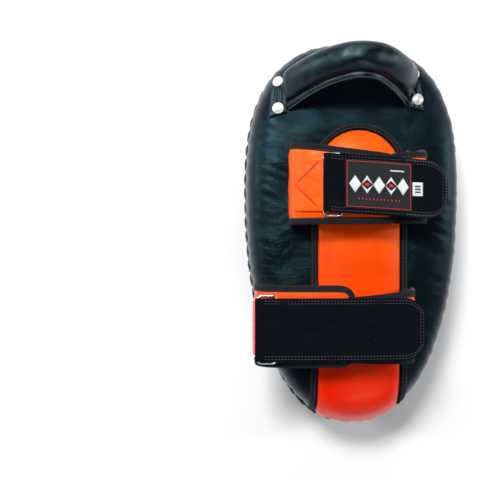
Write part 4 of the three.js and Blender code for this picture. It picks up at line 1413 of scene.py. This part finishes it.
# the keeper: a leather tab with a sewn pennant, its end curled round the ring's near bar
def makeKeeper(cuffName, cuff):
    low, high = cuff["keeperY"]
    barX, barZ = cuff["bar"]
    length, place = bent(cuff["keeper"], 1 if cuffName == "upper" else -1)
    s, w = crossed(spread(0, length, 30, 0.05), spread(low, high, 30, 0.04))
    away = fromRim(s, w, -1, np.inf, low, high)
    thick = 0.8 * rounded(away, 1.6, 0.45)
    swellTop = thick + 0.12 * swell(s, w, 12, 71) * rounded(away, 5, 0)
    parts = [slab(place, s, w, swellTop, -thick)]
    turn = np.radians(np.linspace(118, 422, 60))
    curlLine = np.stack([barX + 2.75 * np.cos(turn), barZ + 2.75 * np.sin(turn)], -1)
    curlLength, curl = bent(curlLine, -1, 2)
    s, w = crossed(spread(0, curlLength, 40, 0.03), spread(low, high, 20, 0.04))
    thick = 0.62 * rounded(fromRim(s, w, -0.5, curlLength + 0.5, low, high), 1.4, 0.4)
    parts.append(slab(curl, s, w, thick, -thick))
    keeper = piece(f"{cuffName}Keeper", parts, "orangeLeather")
    fitted(keeper, "orange_leather", f"{cuffName}_keeper", body=f"{cuffName}_ring_side")
    middle = (low + high) / 2
    rows = []
    for inset in (2.2, 4.4):
        half, base, tip = (high - low) / 2 - inset, length - inset * 0.6, inset * 0.9
        pennant = [
            (base, middle - half), (tip, middle - 1), (tip, middle + 1), (base, middle + half)]
        rows.append(sewn(place, roundedPath(pennant, 1.0, 2.0), 0.72, 2.0, 0.72, 0.4))
    pennantRows = piece(f"{cuffName}KeeperStitches", rows, "brickThread")
    fitted(pennantRows, "orange_leather", body=f"{cuffName}_ring_side")


straps = {}
for cuffName, cuff in cuffs.items():
    makeFlap(cuffName, cuff, "ring")
    length, place, body, node = makeFlap(cuffName, cuff, "strap")
    low, high = cuff["strapFlapY"]
    loopPatch = piece(f"{cuffName}LoopPatch", [patch(
        place, lambda s: (low + high) / 2 + 0 * s, cuff["loop"], (high - low) / 2 - 12, 3.5,
        length, lambda s: 60 + 0 * s)], "hookAndLoop")
    fitted(loopPatch, "hook_and_loop", f"{cuffName}_loop_patch", body=body)
    makeRing(cuffName, cuff)
    makeKeeper(cuffName, cuff)
    straps[cuffName] = makeStrap(cuffName, cuff)
    report(cuffName + " cuff is buckled")

# the lower ring flap's foot, sewn flat over the shoulder
flapFootLook = {
    "line": [(-50.8, 104.4), (-62, 104.2), (-72, 103.2), (-79.6, 102.4)], "y": (-121, -53),
    "top": 2.2, "under": 1.4,
}
footLength, onFoot = bent(flapFootLook["line"], -1)
s, w = crossed(spread(0, footLength, 20, 0.06), spread(*flapFootLook["y"], 30, 0.04))
away = fromRim(s, w, -1, footLength + 1, *flapFootLook["y"])
top = flapFootLook["top"] * rounded(away, 4, 0.4)
under = flapFootLook["under"] * rounded(away, 3, 0.5)
flapFoot = piece("lowerFlapFoot", [slab(onFoot, s, w, top, -under)], "orangeLeather")
fitted(flapFoot, "orange_leather", "lower_flap_foot", body="pad_body")

# the woven label with a row of lozenges, and the size tag with three plain bars
label = {
    "x": (-16, 44.5), "halfHeight": 22, "lift": 2.25, "lozenges": 5, "thick": 0.4,
    "tagX": (45.3, 55), "tagY": (33.5, 46), "tagRows": (-2.6, 0.0, 2.6),
}
strapLength, onStrap, strapMiddle = straps["upper"]
farRun = np.linspace(0, strapLength, 900)
farX = onStrap(farRun, 0, 0)[..., 0]
labelStart, labelEnd = np.interp(label["x"], farX, farRun)
labelMiddle = strapMiddle(np.array(labelStart))
labelHalf, labelLift = label["halfHeight"], label["lift"]


# the label's own y for a height above its middle line, slanted with the strap
def labelY(s, height):
    return labelMiddle - cuffs["upper"]["strapFall"] * (s - labelStart) + height


s, y = crossed(spread(labelStart, labelEnd, 40, 0.02), spread(-labelHalf, labelHalf, 30, 0.03))
edge = label["thick"] * rounded(
    fromRim(s, y, labelStart, labelEnd, -labelHalf, labelHalf), 0.8, 0.4)
upperLabel = piece("upperLabel", [
    slab(onStrap, s, labelY(s, y), labelLift + edge, labelLift - edge)], "labelCloth")
fitted(upperLabel, "label_cloth", "upper_label", body="upper_strap_tail")


# satin stitches that fill a shape: threads upright between its lower and upper line
def satin(sides, low, high, lift=0.5, radius=0.34):
    a, b = (onStrap(sides, labelY(sides, y), labelLift + lift) for y in (low, high))
    middle = labelY(sides, 0)
    up = onStrap(sides, middle, labelLift + 2) - onStrap(sides, middle, labelLift)
    return threads(a, b, up, radius)


# the border: close red stitches across a band just inside the label's edge
def labelBorder():
    first, last = labelStart + 1.4, labelEnd - 1.4
    top = labelHalf - 1.4
    border = [(first, -top), (last, -top), (last, top), (first, top), (first, -top)]
    run = runAlong(border)
    middle = np.arange(0, run[-1], 1.5)

    def spot(lengths, lift):
        s, y = pointsAt(border, run, lengths).T
        return onStrap(s, labelY(s, y), lift)

    a, b = (spot(middle + reach, labelLift + 0.4) for reach in (-0.55, 0.55))
    return threads(a, b, spot(middle, 3.0) - spot(middle, 2.0), 0.42)


# plain lozenges, every second one hollow with a red heart; a dotted line below, a bar above
whites, reds = [], [labelBorder()]
across = np.arange(-5.0, 5.01, 0.55)
tall = 8.2 * (1 - np.abs(across) / 5.4)
heart = slice(6, -6)
for number, middle in enumerate(np.linspace(labelStart + 8.6, labelEnd - 8.6, label["lozenges"])):
    if number % 2:
        for side in (-1, 1):
            whites.append(satin(middle + across, side * tall * 0.55, side * tall))
        reds.append(satin(middle + across[heart], -tall[heart] * 0.2, tall[heart] * 0.2))
    else:
        whites.append(satin(middle + across, -tall, tall))
dots = np.linspace(labelStart + 12, labelEnd - 12, 12)
reds.append(satin(dots, -14.2, -12.4, 0.4, 0.55))
bar = np.linspace(labelEnd - 20, labelEnd - 8, 22)
whites.append(satin(bar, 13.2, 14.6, 0.4, 0.3))
for name, motif, colour in (
        ("upperLabelMotif", whites, "whiteThread"), ("upperLabelTrim", reds, "redThread")):
    fitted(piece(name, motif, colour), "label_cloth", body="upper_strap_tail")

tagStart, tagEnd = np.interp(label["tagX"], farX, farRun)
tagLow, tagHigh = label["tagY"]
s, w = crossed(spread(tagStart, tagEnd, 14, 0.06), spread(tagLow, tagHigh, 14, 0.05))
edge = label["thick"] * rounded(fromRim(s, w, tagStart, tagEnd, tagLow, tagHigh), 0.8, 0.4)
upperSizeTag = piece("upperSizeTag", [
    slab(onStrap, s, w, labelLift + edge, labelLift - edge)], "tagCloth")
fitted(upperSizeTag, "tag_cloth", "upper_size_tag", body="upper_strap_tail")
marks = []
for row in label["tagRows"]:
    s = np.arange(tagStart + 2.4, tagEnd - 2.3, 0.5)
    y = (tagLow + tagHigh) / 2 + row + 0 * s
    up = onStrap(s, y, 3.0) - onStrap(s, y, 2.0)
    marks.append(threads(onStrap(s, y - 0.7, 2.75), onStrap(s, y + 0.7, 2.75), up, 0.3))
tagMarks = piece("upperSizeTagMarks", marks, "darkThread")
fitted(tagMarks, "tag_cloth", body="upper_strap_tail")
report("label and tag are sewn on")

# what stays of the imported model, inside the covers, gets its real finish
inside = {"foam": ("strike_foam", "middle_foam", "arm_foam"), "brushedStrap": ("handle_core",),
          "ringSteel": [f"washer_{side}_{row}" for side in gripTabs for row in ("lower", "upper")]}
for finishName, nodeNames in inside.items():
    for nodeName in nodeNames:
        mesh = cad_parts[nodeName].data
        mesh.materials.clear()
        mesh.materials.append(finishes[finishName])

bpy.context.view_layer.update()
report("done")
